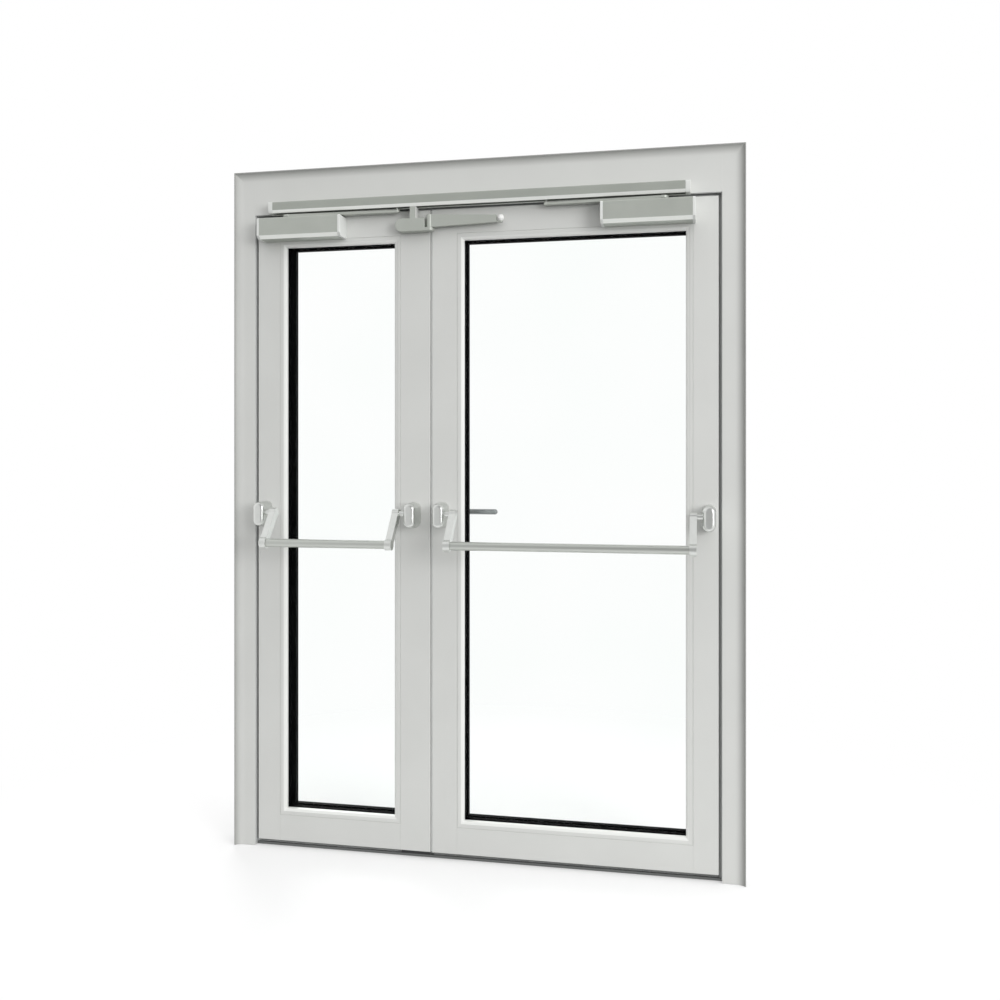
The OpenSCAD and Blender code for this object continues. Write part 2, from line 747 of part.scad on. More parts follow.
// Four mitred glazing beads
module beads(s) {
  b = bead_w;
  x0 = fl_m(s);
  y0 = yLf - 1;
  y1 = yBead + 1;
  intersection() {
    translate([x0, 0, fl_b - b]) linear_extrude(height = fl_t - fl_b + 2 * b) mirror([1, 0]) bead_section();
    along_y(y0, y1) polygon([[x0 - b, fl_b - b], [x0, fl_b], [x0, fl_t], [x0 - b, fl_t + b]]);
  }
  intersection() {
    translate([fl_h, 0, fl_b - b]) linear_extrude(height = fl_t - fl_b + 2 * b) bead_section();
    along_y(y0, y1) polygon([[fl_h + b, fl_b - b], [fl_h + b, fl_t + b], [fl_h, fl_t], [fl_h, fl_b]]);
  }
  intersection() {
    along_x(x0 - b, fl_h + b) translate([0, fl_t]) mirror([1, -1]) bead_section();
    along_y(y0, y1) polygon([[x0 - b, fl_t + b], [x0, fl_t], [fl_h, fl_t], [fl_h + b, fl_t + b]]);
  }
  intersection() {
    along_x(x0 - b, fl_h + b) translate([0, fl_b]) mirror([0, 1]) mirror([1, -1]) bead_section();
    along_y(y0, y1) polygon([[x0 - b, fl_b - b], [fl_h + b, fl_b - b], [fl_h, fl_b], [x0, fl_b]]);
  }
}

// Two panes of the glazing unit
module glass(s) {
  c = pane_cover;
  for (y = [yGf, yGr - pane_t])
    box([gx0(s) - c, y, gz0 - c], [gx1 + c, y + pane_t, gz1 + c]);
}

// Spacer between the panes
module spacer(s) {
  c = pane_cover;
  ring_y(yGf + pane_t, yGr - pane_t, [gx0(s) - c, gz0 - c, gx1 + c, gz1 + c], [gx0(s), gz0, gx1, gz1]);
}

// Glazing gaskets before and behind the unit, each with a narrow visible edge
module gasket(s) {
  l = gasket_lip;
  c = pane_cover;
  e = gasket_rear_lip;
  i = [gx0(s), gz0, gx1, gz1];
  k = [gx0(s) + e, gz0 + e, gx1 - e, gz1 - e];
  n = [gx0(s) - l, gz0 - l, gx1 + l, gz1 + l];
  o = [gx0(s) - c, gz0 - c, gx1 + c, gz1 + c];
  ring_y(yLf + bead_drop, yBead, n, i);
  ring_y(yBead, yGf, o, i);
  ring_y(yGr, yFl, o, k);
  ring_y(yFl, yLb, n, k);
}

// Brush under a leaf
module bottom_seal(s) {
  box([meet_edge(s) + 2, yLf + brush_back, leaf_floor - brush_h],
    [leaf_out, yLf + brush_back + brush_t, leaf_floor]);
}

// Section of a closer
module closer_section() {
  c = closer_chamfer;
  k = closer_top_chamfer;
  y0 = yLf - closer_d;
  z0 = closer_top - closer_h;
  polygon([[yLf, z0], [yLf, closer_top], [y0 + k, closer_top], [y0, closer_top - k], [y0, z0 + c], [y0 + c, z0]]);
}

// Closer with chamfered front and a seat for its spindle
module closer(s) {
  xe = spindle_x(s) + spindle_inset;
  difference() {
    along_x(xe - closer_length + closer_cap_t, xe - closer_cap_t) closer_section();
    translate([spindle_x(s), closer_y, closer_top - spindle_seat])
      cylinder(r = spindle_r + spindle_clear, h = spindle_seat + 1);
  }
}

// End caps of a closer
module closer_caps(s) {
  xe = spindle_x(s) + spindle_inset;
  for (x = [xe - closer_length, xe - closer_cap_t]) along_x(x, x + closer_cap_t) closer_section();
}

// Closer arm with hub, spindle and roller pin
module arm(s) {
  xs = spindle_x(s);
  l = arm_l(s);
  ry = rail_y - closer_y;
  xt = -sqrt(l * l - ry * ry);
  translate([xs, closer_y, arm_z]) {
    cylinder(r = arm_hub_r, h = arm_t);
    translate([0, 0, -arm_clear - spindle_seat + 1]) cylinder(r = spindle_r, h = arm_clear + spindle_seat);
    linear_extrude(height = arm_t) polygon([[0, -arm_hub_r * 0.8], [0, arm_hub_r * 0.8],
      [xt, ry + arm_tip_r * 0.9], [xt, ry - arm_tip_r * 0.9]]);
    translate([xt, ry, 0]) {
      cylinder(r = arm_tip_r, h = arm_t);
      cylinder(r = roller_pin_r, h = roller_z + roller_h - arm_z);
    }
  }
}

// Roller on the arm pin
module arm_roller(s) {
  l = arm_l(s);
  ry = rail_y - closer_y;
  xt = -sqrt(l * l - ry * ry);
  translate([spindle_x(s) + xt, rail_y, roller_z]) difference() {
    cylinder(r = roller_r, h = roller_h);
    translate([0, 0, -1]) cylinder(r = roller_pin_r, h = roller_h + 2);
  }
}

// Half section of a housing with its rounded shoulder, from the middle outward and from the leaf forward
module housing_section() {
  q = housing_q;
  r = housing_w / 2;
  f = r - housing_draft;
  square([f - q, housing_d]);
  polygon([[0, 0], [r, 0], [f, housing_d - q], [0, housing_d - q]]);
  translate([f - q, housing_d - q]) intersection() {
    circle(r = q);
    square(q + 1);
  }
}

// One oval housing, with the axle seat on the side given by k
module housing(x, k) {
  m = (housing_h - housing_w) / 2;
  difference() {
    translate([x, yLf, housing_z]) {
      for (z = [-m, m]) translate([0, 0, z]) rotate([90, 0, 0]) rotate_extrude() housing_section();
      translate([0, 0, -m]) linear_extrude(height = 2 * m) mirror([0, 1]) {
        housing_section();
        mirror([1, 0]) housing_section();
      }
    }
    if (k > 0) rod_x(x + housing_w / 2 - axle_seat, x + housing_w, axle_y, lock_z, axle_r + axle_clear);
    if (k < 0) rod_x(x - housing_w, x - housing_w / 2 + axle_seat, axle_y, lock_z, axle_r + axle_clear);
  }
}

module housings(s) {
  housing(x_house_h, -1);
  housing(x_house_m(s), 1);
}

// One lever at x with its axle on the side given by k
module lever(x, k) {
  t = lever_t / 2;
  e = bar_r + lever_eye;
  a = atan2(lever_fall, lever_reach);
  n = [sin(a), -cos(a)];
  difference() {
    union() {
      rod_x(x - t, x + t, axle_y, lock_z, lever_hub_r);
      rod_x(x - t, x + t, bar_y, bar_z, e);
      along_x(x - t, x + t) polygon([[axle_y + n[0] * 12, lock_z + n[1] * 12],
        [axle_y - n[0] * 12, lock_z - n[1] * 12], [bar_y - n[0] * 11, bar_z - n[1] * 11],
        [bar_y + n[0] * 11, bar_z + n[1] * 11]]);
      if (k > 0) rod_x(x, x + lever_in - housing_w / 2 + axle_seat - 1, axle_y, lock_z, axle_r);
      if (k < 0) rod_x(x - lever_in + housing_w / 2 - axle_seat + 1, x, axle_y, lock_z, axle_r);
    }
    rod_x(x - t - 1, x + t + 1, bar_y, bar_z, bar_r);
  }
}

module levers(s) {
  lever(x_house_h - lever_in, 1);
  lever(x_house_m(s) + lever_in, -1);
}

// Push bar tube with plugs in its ends
module bar(s) {
  x0 = x_house_m(s) + lever_in - lever_t / 2;
  x1 = x_house_h - lever_in + lever_t / 2;
  difference() {
    rod_x(x0, x1, bar_y, bar_z, bar_r);
    rod_x(x0 + bar_cap_t, x1 - bar_cap_t, bar_y, bar_z, bar_r - bar_wall);
  }
}

module l_hinge_stile() {
  color("#d6d6d4") side(-1) hinge_stile();
}

module l_meeting_stile() {
  color("#d6d6d4") side(-1) meeting_stile(-1);
}

module l_top_rail() {
  color("#d6d6d4") side(-1) top_rail(-1);
}

module l_bottom_rail() {
  color("#d6d6d4") side(-1) bottom_rail(-1);
}

module l_beads() {
  color("#dcdcda") side(-1) beads(-1);
}

module l_glass() {
  color("#e8f0f0") side(-1) glass(-1);
}

module l_spacer() {
  color("#141517") side(-1) spacer(-1);
}

module l_gasket() {
  color("#141517") side(-1) gasket(-1);
}

module l_bottom_seal() {
  color("#1c1d1e") side(-1) bottom_seal(-1);
}

// Lip seal in the meeting gap, on the outer part of the inactive leaf's edge
module l_meeting_seal() {
  e = -meet_edge(-1);
  y1 = yLb - meet_seal_back;
  color("#9c9e9d") box([e, y1 - meet_seal_w, leaf_floor], [e + meet_seal_reach, y1, leaf_top]);
}

module l_hinges() {
  color("#b9bbb9") side(-1) knuckles_leaf();
}

module l_closer() {
  color("#a9ada8") side(-1) closer(-1);
}

module l_closer_caps() {
  color("#dcdedb") side(-1) closer_caps(-1);
}

module l_housings() {
  color("#c9cbc9") side(-1) housings(-1);
}

// Keep plate in the edge of the inactive leaf, open for the latch
module l_keep() {
  e = -meet_edge(-1);
  c = latch_clear + 1;
  color("#b4b6b5") difference() {
    box([e - wall_t, bolt_y - forend_w / 2, lock_z - forend_h / 2],
      [e, bolt_y + forend_w / 2, lock_z + forend_h / 2]);
    box([e - wall_t - 1, bolt_y - latch_t / 2 - c, lock_z - latch_h / 2 - c],
      [e + 1, bolt_y + latch_t / 2 + c, lock_z + latch_h / 2 + c]);
  }
}

// Guides of the shoot bolts: plugs in both ends of the stile and a foot below it
module l_bolt_guides() {
  e = -meet_edge(-1);
  w = wall_t;
  x0 = e - inactive_stile_w + w;
  xb = e - bolt_x;
  y0 = yLf + w;
  y1 = yFl + w;
  color("#2a2b2c") difference() {
    union() {
      box([x0, y0, leaf_top - guide_l], [e - w, y1, leaf_top]);
      box([x0, y0, leaf_floor], [e - w, y1, leaf_floor + guide_l]);
      box([x0, yLf + 3, leaf_floor - foot_h], [e - w, yLf + brush_back, leaf_floor]);
    }
    translate([xb, bolt_y, leaf_floor - foot_h - 1]) cylinder(r = bolt_r + bolt_clear, h = guide_l + foot_h + 2);
    translate([xb, bolt_y, leaf_top - guide_l - 1]) cylinder(r = bolt_r + bolt_clear, h = guide_l + 2);
  }
}

module l_arm() {
  color("#a2a6a1") side(-1) arm(-1);
}

module l_arm_roller() {
  color("#2a2b2c") side(-1) arm_roller(-1);
}

module l_levers() {
  color("#c9cbc9") side(-1) levers(-1);
}

module l_bar() {
  color("#d2d4d2") side(-1) bar(-1);
}

module l_bolt_top() {
  z = flange_top + bolt_top_out;
  color("#b4b6b5") translate([-meet_edge(-1) - bolt_x, bolt_y, z - bolt_l]) cylinder(r = bolt_r, h = bolt_l);
}

module l_bolt_bottom() {
  z = leaf_floor - bolt_bottom_out;
  color("#b4b6b5") translate([-meet_edge(-1) - bolt_x, bolt_y, z]) cylinder(r = bolt_r, h = bolt_l);
}

module r_hinge_stile() {
  color("#d6d6d4") hinge_stile();
}

module r_meeting_stile() {
  color("#d6d6d4") difference() {
    meeting_stile(1);
    rod_y(x_house_m(1), yLb - wall_t - 1, yLb + 1, lock_z, neck_r + 1);
  }
}

module r_top_rail() {
  color("#d6d6d4") top_rail(1);
}

module r_bottom_rail() {
  color("#d6d6d4") bottom_rail(1);
}

module r_beads() {
  color("#dcdcda") beads(1);
}

module r_glass() {
  color("#e8f0f0") glass(1);
}

module r_spacer() {
  color("#141517") spacer(1);
}

module r_gasket() {
  color("#141517") gasket(1);
}

module r_bottom_seal() {
  color("#1c1d1e") bottom_seal(1);
}

// Lip seal in the meeting gap, close behind the active leaf's face
module r_meeting_seal() {
  e = meet_edge(1);
  y0 = yLf + meet_seal_back;
  color("#9c9e9d") box([e - meet_lip_reach, y0, leaf_floor], [e, y0 + meet_lip_w, leaf_top]);
}

module r_hinges() {
  color("#b9bbb9") knuckles_leaf();
}

module r_closer() {
  color("#a9ada8") closer(1);
}

module r_closer_caps() {
  color("#dcdedb") closer_caps(1);
}

module r_housings() {
  color("#c9cbc9") housings(1);
}

// Lock with its forend in the edge of the active leaf
module r_lock() {
  e = meet_edge(1);
  c = latch_clear;
  color("#b4b6b5") difference() {
    union() {
      box([e, bolt_y - forend_w / 2, lock_z - forend_h / 2],
        [e + wall_t, bolt_y + forend_w / 2, lock_z + forend_h / 2]);
      box([e + wall_t, bolt_y - latch_t / 2 - 2, lock_z - lock_case_down],
        [e + latch_l + 11, bolt_y + latch_t / 2 + 2, lock_z + lock_case_up]);
    }
    box([e - 1, bolt_y - latch_t / 2 - c, lock_z - latch_h / 2 - c],
      [e + latch_l + 9, bolt_y + latch_t / 2 + c, lock_z + latch_h / 2 + c]);
  }
}

// Rose of the outside handle
module r_rose() {
  x = x_house_m(1);
  color("#b9bbb9") difference() {
    rod_y(x, yLb, yLb + rose_t, lock_z, rose_r);
    rod_y(x, yLb - 1, yLb + rose_t + 1, lock_z, neck_r + neck_clear);
  }
}

// Key cylinder in its round rose
module r_cylinder() {
  x = x_house_m(1);
  z = lock_z - cylinder_drop;
  color("#b9bbb9") {
    rod_y(x, yLb, yLb + rose_t, z, rose_r);
    rod_y(x, yLb + rose_t - 1, yLb + cylinder_out, z, 8.5);
  }
}

module r_arm() {
  color("#a2a6a1") arm(1);
}

module r_arm_roller() {
  color("#2a2b2c") arm_roller(1);
}

module r_levers() {
  color("#c9cbc9") levers(1);
}

module r_bar() {
  color("#d2d4d2") bar(1);
}

// Outside lever handle on its neck
module r_handle() {
  x = x_house_m(1);
  y1 = yLb + neck_l;
  color("#8f9293") {
    rod_y(x, yLb - wall_t, y1, lock_z, neck_r);
    translate([x, y1, lock_z]) sphere(r = grip_r);
    rod_x(x, x + handle_l - grip_r, y1, lock_z, grip_r);
    translate([x + handle_l - grip_r, y1, lock_z]) sphere(r = grip_r);
  }
}

// Latch in the lock, short of the keep at rest
module r_latch() {
  e = meet_edge(1);
  color("#c4c6c5") box([e - latch_out, bolt_y - latch_t / 2, lock_z - latch_h / 2],
    [e - latch_out + latch_l, bolt_y + latch_t / 2, lock_z + latch_h / 2]);
}

frame_head();
jamb_left();
jamb_right();
threshold();
stop_gasket();
trim_left();
trim_right();
trim_head();
guide_rail();
rail_caps();
hinge_knuckles_left();
hinge_knuckles_right();
selector_block();
selector_arm();
selector_roller();
l_hinge_stile();
l_meeting_stile();
l_top_rail();
l_bottom_rail();
l_beads();
l_glass();
l_spacer();
l_gasket();
l_bottom_seal();
l_meeting_seal();
l_hinges();
l_closer();
l_closer_caps();
l_housings();
l_keep();
l_bolt_guides();
l_arm();
l_arm_roller();
l_levers();
l_bar();
l_bolt_top();
l_bolt_bottom();
r_hinge_stile();
r_meeting_stile();
r_top_rail();
r_bottom_rail();
r_beads();
r_glass();
r_spacer();
r_gasket();
r_bottom_seal();
r_meeting_seal();
r_hinges();
r_closer();
r_closer_caps();
r_housings();
r_lock();
r_rose();
r_cylinder();
r_arm();
r_arm_roller();
r_levers();
r_bar();
r_handle();
r_latch();
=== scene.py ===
import json
import math
import bmesh
import bpy
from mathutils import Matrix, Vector

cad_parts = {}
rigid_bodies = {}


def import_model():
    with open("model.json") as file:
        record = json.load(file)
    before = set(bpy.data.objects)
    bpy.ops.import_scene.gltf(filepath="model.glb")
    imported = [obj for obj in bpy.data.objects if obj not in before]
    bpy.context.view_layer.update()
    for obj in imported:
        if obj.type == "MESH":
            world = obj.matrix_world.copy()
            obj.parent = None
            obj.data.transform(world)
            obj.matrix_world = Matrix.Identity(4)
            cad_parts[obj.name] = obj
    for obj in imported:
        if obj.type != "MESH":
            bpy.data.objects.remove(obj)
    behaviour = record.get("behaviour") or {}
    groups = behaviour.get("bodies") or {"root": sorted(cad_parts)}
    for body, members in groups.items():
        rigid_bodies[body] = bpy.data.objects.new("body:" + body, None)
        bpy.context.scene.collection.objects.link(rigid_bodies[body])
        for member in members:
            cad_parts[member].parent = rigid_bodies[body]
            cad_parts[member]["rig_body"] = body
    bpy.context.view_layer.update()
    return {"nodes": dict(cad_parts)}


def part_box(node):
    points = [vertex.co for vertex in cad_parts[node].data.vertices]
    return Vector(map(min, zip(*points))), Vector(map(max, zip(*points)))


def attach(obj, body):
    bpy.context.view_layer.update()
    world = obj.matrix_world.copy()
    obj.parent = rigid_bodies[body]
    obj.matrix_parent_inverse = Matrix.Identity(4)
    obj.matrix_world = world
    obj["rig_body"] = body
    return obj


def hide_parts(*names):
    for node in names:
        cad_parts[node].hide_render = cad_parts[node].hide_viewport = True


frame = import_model()
nodes = frame["nodes"]
MM = 0.001


def linear(hex_colour):
    """sRGB hex to the linear colour that a shader takes."""
    out = []
    for i in (1, 3, 5):
        c = int(hex_colour[i:i + 2], 16) / 255
        out.append(c / 12.92 if c <= 0.04045 else ((c + 0.055) / 1.055) ** 2.4)
    return (*out, 1.0)


def add(tree, kind, props=None, inputs=None):
    """Adds a node, sets its properties, and sets or links its inputs."""
    node = tree.nodes.new(kind)
    for key, value in (props or {}).items():
        setattr(node, key, value)
    for key, value in (inputs or {}).items():
        if isinstance(value, bpy.types.NodeSocket):
            tree.links.new(value, node.inputs[key])
        else:
            node.inputs[key].default_value = value
    return node


def blank(name):
    """A material with an empty tree."""
    mat = bpy.data.materials.new(name)
    mat.use_nodes = True
    mat.node_tree.nodes.clear()
    return mat, mat.node_tree


def per_mm(size):
    """Texture scale in Object coordinates, which are metres, for a feature of this size in mm."""
    return 1000 / size


# Finishes


def powder_coat(name, low, high, hollow=None):
    """Polyester powder coat on extruded aluminium: a warm grey with a satin gloss and a faint orange peel.
    The peel is about 1.5 mm on the real door; it is drawn at 4 mm so that it shows in a close view.
    The last argument is a second, darker pair of colours for a bend: painted shade that deepens across the bend and,
    at the lip, also stands for the trim's own darker grey. A mesh attribute of the same name says how far into the
    bend each point lies."""
    mat, t = blank(name)
    where = add(t, "ShaderNodeTexCoord").outputs["Object"]
    cloud = add(t, "ShaderNodeTexNoise", inputs={"Vector": where, "Scale": per_mm(180), "Detail": 2.0})
    tint = add(t, "ShaderNodeMix", {"data_type": "RGBA"}, {
        0: cloud.outputs["Fac"], 6: linear(low), 7: linear(high)})
    if hollow:
        # Painted shade: towards the lip of a bend the coat darkens to this second pair.
        shade_tint = add(t, "ShaderNodeMix", {"data_type": "RGBA"}, {
            0: cloud.outputs["Fac"], 6: linear(hollow[0]), 7: linear(hollow[1])})
        depth = add(t, "ShaderNodeAttribute", {"attribute_name": "hollow"})
        tint = add(t, "ShaderNodeMix", {"data_type": "RGBA"}, {
            0: depth.outputs["Fac"], 6: tint.outputs[2], 7: shade_tint.outputs[2]})
    peel = add(t, "ShaderNodeTexNoise", inputs={
        "Vector": where, "Scale": per_mm(4), "Detail": 3.0, "Roughness": 0.55})
    gloss = add(t, "ShaderNodeMapRange", inputs={"Value": peel.outputs["Fac"], "To Min": 0.36, "To Max": 0.48})
    bump = add(t, "ShaderNodeBump", inputs={"Height": peel.outputs["Fac"], "Strength": 0.10, "Distance": 0.15 * MM})
    skin = add(t, "ShaderNodeBsdfPrincipled", inputs={
        "Base Color": tint.outputs[2], "Roughness": gloss.outputs[0], "Normal": bump.outputs[0], "IOR": 1.5})
    add(t, "ShaderNodeOutputMaterial", inputs={"Surface": skin.outputs[0]})
    return mat


def silver_lacquer(name, low, high, rough):
    """Silver lacquer: fine aluminium flake in a matt, slightly green grey that lightens towards the lamps.
    Real flake is under 0.1 mm; it is drawn at 1.5 mm so that it shows."""
    mat, t = blank(name)
    where = add(t, "ShaderNodeTexCoord").outputs["Object"]
    flake = add(t, "ShaderNodeTexNoise", inputs={"Vector": where, "Scale": per_mm(1.5), "Detail": 2.0})
    cloud = add(t, "ShaderNodeTexNoise", inputs={"Vector": where, "Scale": per_mm(90), "Detail": 2.0})
    both = add(t, "ShaderNodeMath", {"operation": "MULTIPLY"}, {0: flake.outputs["Fac"], 1: cloud.outputs["Fac"]})
    tint = add(t, "ShaderNodeMix", {"data_type": "RGBA"}, {
        0: both.outputs[0], 6: linear(low), 7: linear(high)})
    gloss = add(t, "ShaderNodeMapRange", inputs={
        "Value": flake.outputs["Fac"], "To Min": rough - 0.06, "To Max": rough + 0.06})
    bump = add(t, "ShaderNodeBump", inputs={"Height": flake.outputs["Fac"], "Strength": 0.06, "Distance": 0.1 * MM})
    skin = add(t, "ShaderNodeBsdfPrincipled", inputs={
        "Base Color": tint.outputs[2], "Metallic": 0.55, "Roughness": gloss.outputs[0], "Normal": bump.outputs[0]})
    add(t, "ShaderNodeOutputMaterial", inputs={"Surface": skin.outputs[0]})
    return mat


def moulded_plastic(name, low, high, rough, grain):
    """Injection-moulded plastic: an even colour with a fine spark-eroded grain that dulls the gloss."""
    mat, t = blank(name)
    where = add(t, "ShaderNodeTexCoord").outputs["Object"]
    grit = add(t, "ShaderNodeTexNoise", inputs={"Vector": where, "Scale": per_mm(grain), "Detail": 3.0})
    tint = add(t, "ShaderNodeMix", {"data_type": "RGBA"}, {0: grit.outputs["Fac"], 6: linear(low), 7: linear(high)})
    gloss = add(t, "ShaderNodeMapRange", inputs={
        "Value": grit.outputs["Fac"], "To Min": rough - 0.06, "To Max": rough + 0.06})
    bump = add(t, "ShaderNodeBump", inputs={"Height": grit.outputs["Fac"], "Strength": 0.12, "Distance": 0.1 * MM})
    skin = add(t, "ShaderNodeBsdfPrincipled", inputs={
        "Base Color": tint.outputs[2], "Roughness": gloss.outputs[0], "Normal": bump.outputs[0], "IOR": 1.5})
    add(t, "ShaderNodeOutputMaterial", inputs={"Surface": skin.outputs[0]})
    return mat


def satin_casting():
    """Zinc die casting, satin chromed: bright and soft, with the slight waviness of a polished casting."""
    mat, t = blank("satin_chromed_casting")
    where = add(t, "ShaderNodeTexCoord").outputs["Object"]
    wave = add(t, "ShaderNodeTexNoise", inputs={"Vector": where, "Scale": per_mm(12), "Detail": 2.0})
    grit = add(t, "ShaderNodeTexNoise", inputs={"Vector": where, "Scale": per_mm(1), "Detail": 2.0})
    tint = add(t, "ShaderNodeMix", {"data_type": "RGBA"}, {
        0: wave.outputs["Fac"], 6: linear("#d2d4d1"), 7: linear("#dfe1de")})
    gloss = add(t, "ShaderNodeMapRange", inputs={"Value": grit.outputs["Fac"], "To Min": 0.24, "To Max": 0.36})
    bump = add(t, "ShaderNodeBump", inputs={"Height": wave.outputs["Fac"], "Strength": 0.05, "Distance": 0.4 * MM})
    skin = add(t, "ShaderNodeBsdfPrincipled", inputs={
        "Base Color": tint.outputs[2], "Metallic": 1.0, "Roughness": gloss.outputs[0], "Normal": bump.outputs[0]})
    add(t, "ShaderNodeOutputMaterial", inputs={"Surface": skin.outputs[0]})
    return mat


def brushed_metal(name, low, high, rough, along):
    """Metal brushed along one axis: long hairlines that stretch the highlight. along is 0 for X and 2 for Z.
    Hairlines are about 0.3 mm apart; they are drawn at 1.2 mm so that they show."""
    mat, t = blank(name)
    where = add(t, "ShaderNodeTexCoord").outputs["Object"]
    scale = [per_mm(1.2)] * 3
    scale[along] = per_mm(160)
    lines = add(t, "ShaderNodeTexNoise", inputs={
        "Vector": add(t, "ShaderNodeMapping", inputs={"Vector": where, "Scale": scale}).outputs[0],
        "Scale": 1.0, "Detail": 3.0})
    tint = add(t, "ShaderNodeMix", {"data_type": "RGBA"}, {0: lines.outputs["Fac"], 6: linear(low), 7: linear(high)})
    gloss = add(t, "ShaderNodeMapRange", inputs={
        "Value": lines.outputs["Fac"], "To Min": rough - 0.08, "To Max": rough + 0.08})
    bump = add(t, "ShaderNodeBump", inputs={"Height": lines.outputs["Fac"], "Strength": 0.08, "Distance": 0.05 * MM})
    skin = add(t, "ShaderNodeBsdfPrincipled", inputs={
        "Base Color": tint.outputs[2], "Metallic": 1.0, "Roughness": gloss.outputs[0], "Normal": bump.outputs[0]})
    add(t, "ShaderNodeOutputMaterial", inputs={"Surface": skin.outputs[0]})
    return mat


def rubber(name, low, high):
    """Extruded rubber seal: matt, with a soft grey bloom."""
    mat, t = blank(name)
    where = add(t, "ShaderNodeTexCoord").outputs["Object"]
    bloom = add(t, "ShaderNodeTexNoise", inputs={"Vector": where, "Scale": per_mm(25), "Detail": 4.0})
    tint = add(t, "ShaderNodeMix", {"data_type": "RGBA"}, {0: bloom.outputs["Fac"], 6: linear(low), 7: linear(high)})
    gloss = add(t, "ShaderNodeMapRange", inputs={"Value": bloom.outputs["Fac"], "To Min": 0.55, "To Max": 0.72})
    skin = add(t, "ShaderNodeBsdfPrincipled", inputs={
        "Base Color": tint.outputs[2], "Roughness": gloss.outputs[0], "Specular IOR Level": 0.02})
    add(t, "ShaderNodeOutputMaterial", inputs={"Surface": skin.outputs[0]})
    return mat


def float_glass():
    """Clear float glass: almost no colour face on, a trace of green, mirror smooth with a very slight drift.
    A coat against reflections keeps the mirror image faint, so the seals behind the pane stay black.
    Lamps reach through it, as they do through a real pane."""
    mat, t = blank("float_glass")
    where = add(t, "ShaderNodeTexCoord").outputs["Object"]
    drift = add(t, "ShaderNodeTexNoise", inputs={"Vector": where, "Scale": per_mm(400), "Detail": 1.0})
    tint = add(t, "ShaderNodeMix", {"data_type": "RGBA"}, {
        0: drift.outputs["Fac"], 6: linear("#fcfefd"), 7: linear("#ffffff")})
    pane = add(t, "ShaderNodeBsdfPrincipled", inputs={
        "Base Color": tint.outputs[2], "Roughness": 0.0, "IOR": 1.08, "Transmission Weight": 1.0})
    clear = add(t, "ShaderNodeBsdfTransparent", inputs={"Color": tint.outputs[2]})
    ray = add(t, "ShaderNodeLightPath")
    mix = add(t, "ShaderNodeMixShader", inputs={
        0: ray.outputs["Is Shadow Ray"], 1: pane.outputs[0], 2: clear.outputs[0]})
    add(t, "ShaderNodeOutputMaterial", inputs={"Surface": mix.outputs[0]})
    return mat


COAT = powder_coat("powder_coat_light_grey", "#d0d1ce", "#d8d9d6")
# The trim takes the frame's coat, darkened across its bend: painted shade that, at the lip, also stands for the
# trim's own darker grey.
TRIM = powder_coat("powder_coat_grey_painted_shade", "#d0d1ce", "#d8d9d6", ("#9c9d9a", "#a5a6a3"))
# A lighter copy of the coat for the beads' inner slopes: a painted highlight.
PAINTED_HIGHLIGHT_COAT = powder_coat("powder_coat_painted_highlight", "#e1e2df", "#e9eae7")
SILVER = silver_lacquer("silver_lacquer", "#b0b4ad", "#c8ccc5", 0.46)
RAIL_SILVER = silver_lacquer("dull_silver_lacquer", "#a5a9a2", "#bdc1ba", 0.50)
# A lighter, slightly glossier copy of the silver lacquer for faces that look down: its lighter colour is a painted
# highlight.
PAINTED_HIGHLIGHT_SILVER = silver_lacquer("silver_lacquer_painted_highlight", "#eceeea", "#f6f8f4", 0.40)
CASTING = satin_casting()
TUBE = brushed_metal("anodised_aluminium_tube", "#b9bcb7", "#c9ccc7", 0.34, 0)
STEEL = brushed_metal("satin_stainless_steel", "#8c8f90", "#a1a4a5", 0.30, 0)
PLATED = brushed_metal("zinc_plated_steel", "#a9acac", "#bec1c0", 0.36, 2)
CAP = moulded_plastic("light_grey_abs", "#dcdedb", "#e6e8e5", 0.42, 0.8)
NYLON = moulded_plastic("white_nylon", "#ececea", "#f6f6f4", 0.35, 0.8)
BLACK_NYLON = moulded_plastic("black_nylon", "#191a1b", "#232425", 0.45, 0.8)
SILL = brushed_metal("dark_anodised_aluminium", "#6c6e6d", "#7a7c7b", 0.42, 0)
SEAL = rubber("black_epdm", "#060607", "#0d0e0f")
GREY_SEAL = rubber("grey_epdm", "#b4b6b5", "#c0c2c1")
PALE_SEAL = rubber("pale_grey_epdm", "#d6d8d6", "#e0e2e0")
SPACER = rubber("black_spacer_foam", "#050506", "#0a0b0b")
BRISTLE = moulded_plastic("grey_polypropylene_fibre", "#9a9c9b", "#a8aaa9", 0.40, 0.8)
GLASS = float_glass()


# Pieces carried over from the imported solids


def put(name, mesh, body, slot, *stands_for):
    """Links a finished mesh as a piece that rides on a body."""
    piece = bpy.data.objects.new(name, mesh)
    bpy.context.scene.collection.objects.link(piece)
    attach(piece, body)
    if stands_for:
        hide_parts(*stands_for)
    return piece


def settle(work):
    """The evaluated mesh of a working object, which goes away with its modifiers."""
    made = bpy.data.meshes.new_from_object(work.evaluated_get(bpy.context.evaluated_depsgraph_get()))
    work.modifiers.clear()
    bpy.data.objects.remove(work)
    return made


def working(mesh):
    """An object to hang modifiers on."""
    work = bpy.data.objects.new("work", mesh)
    bpy.context.scene.collection.objects.link(work)
    return work


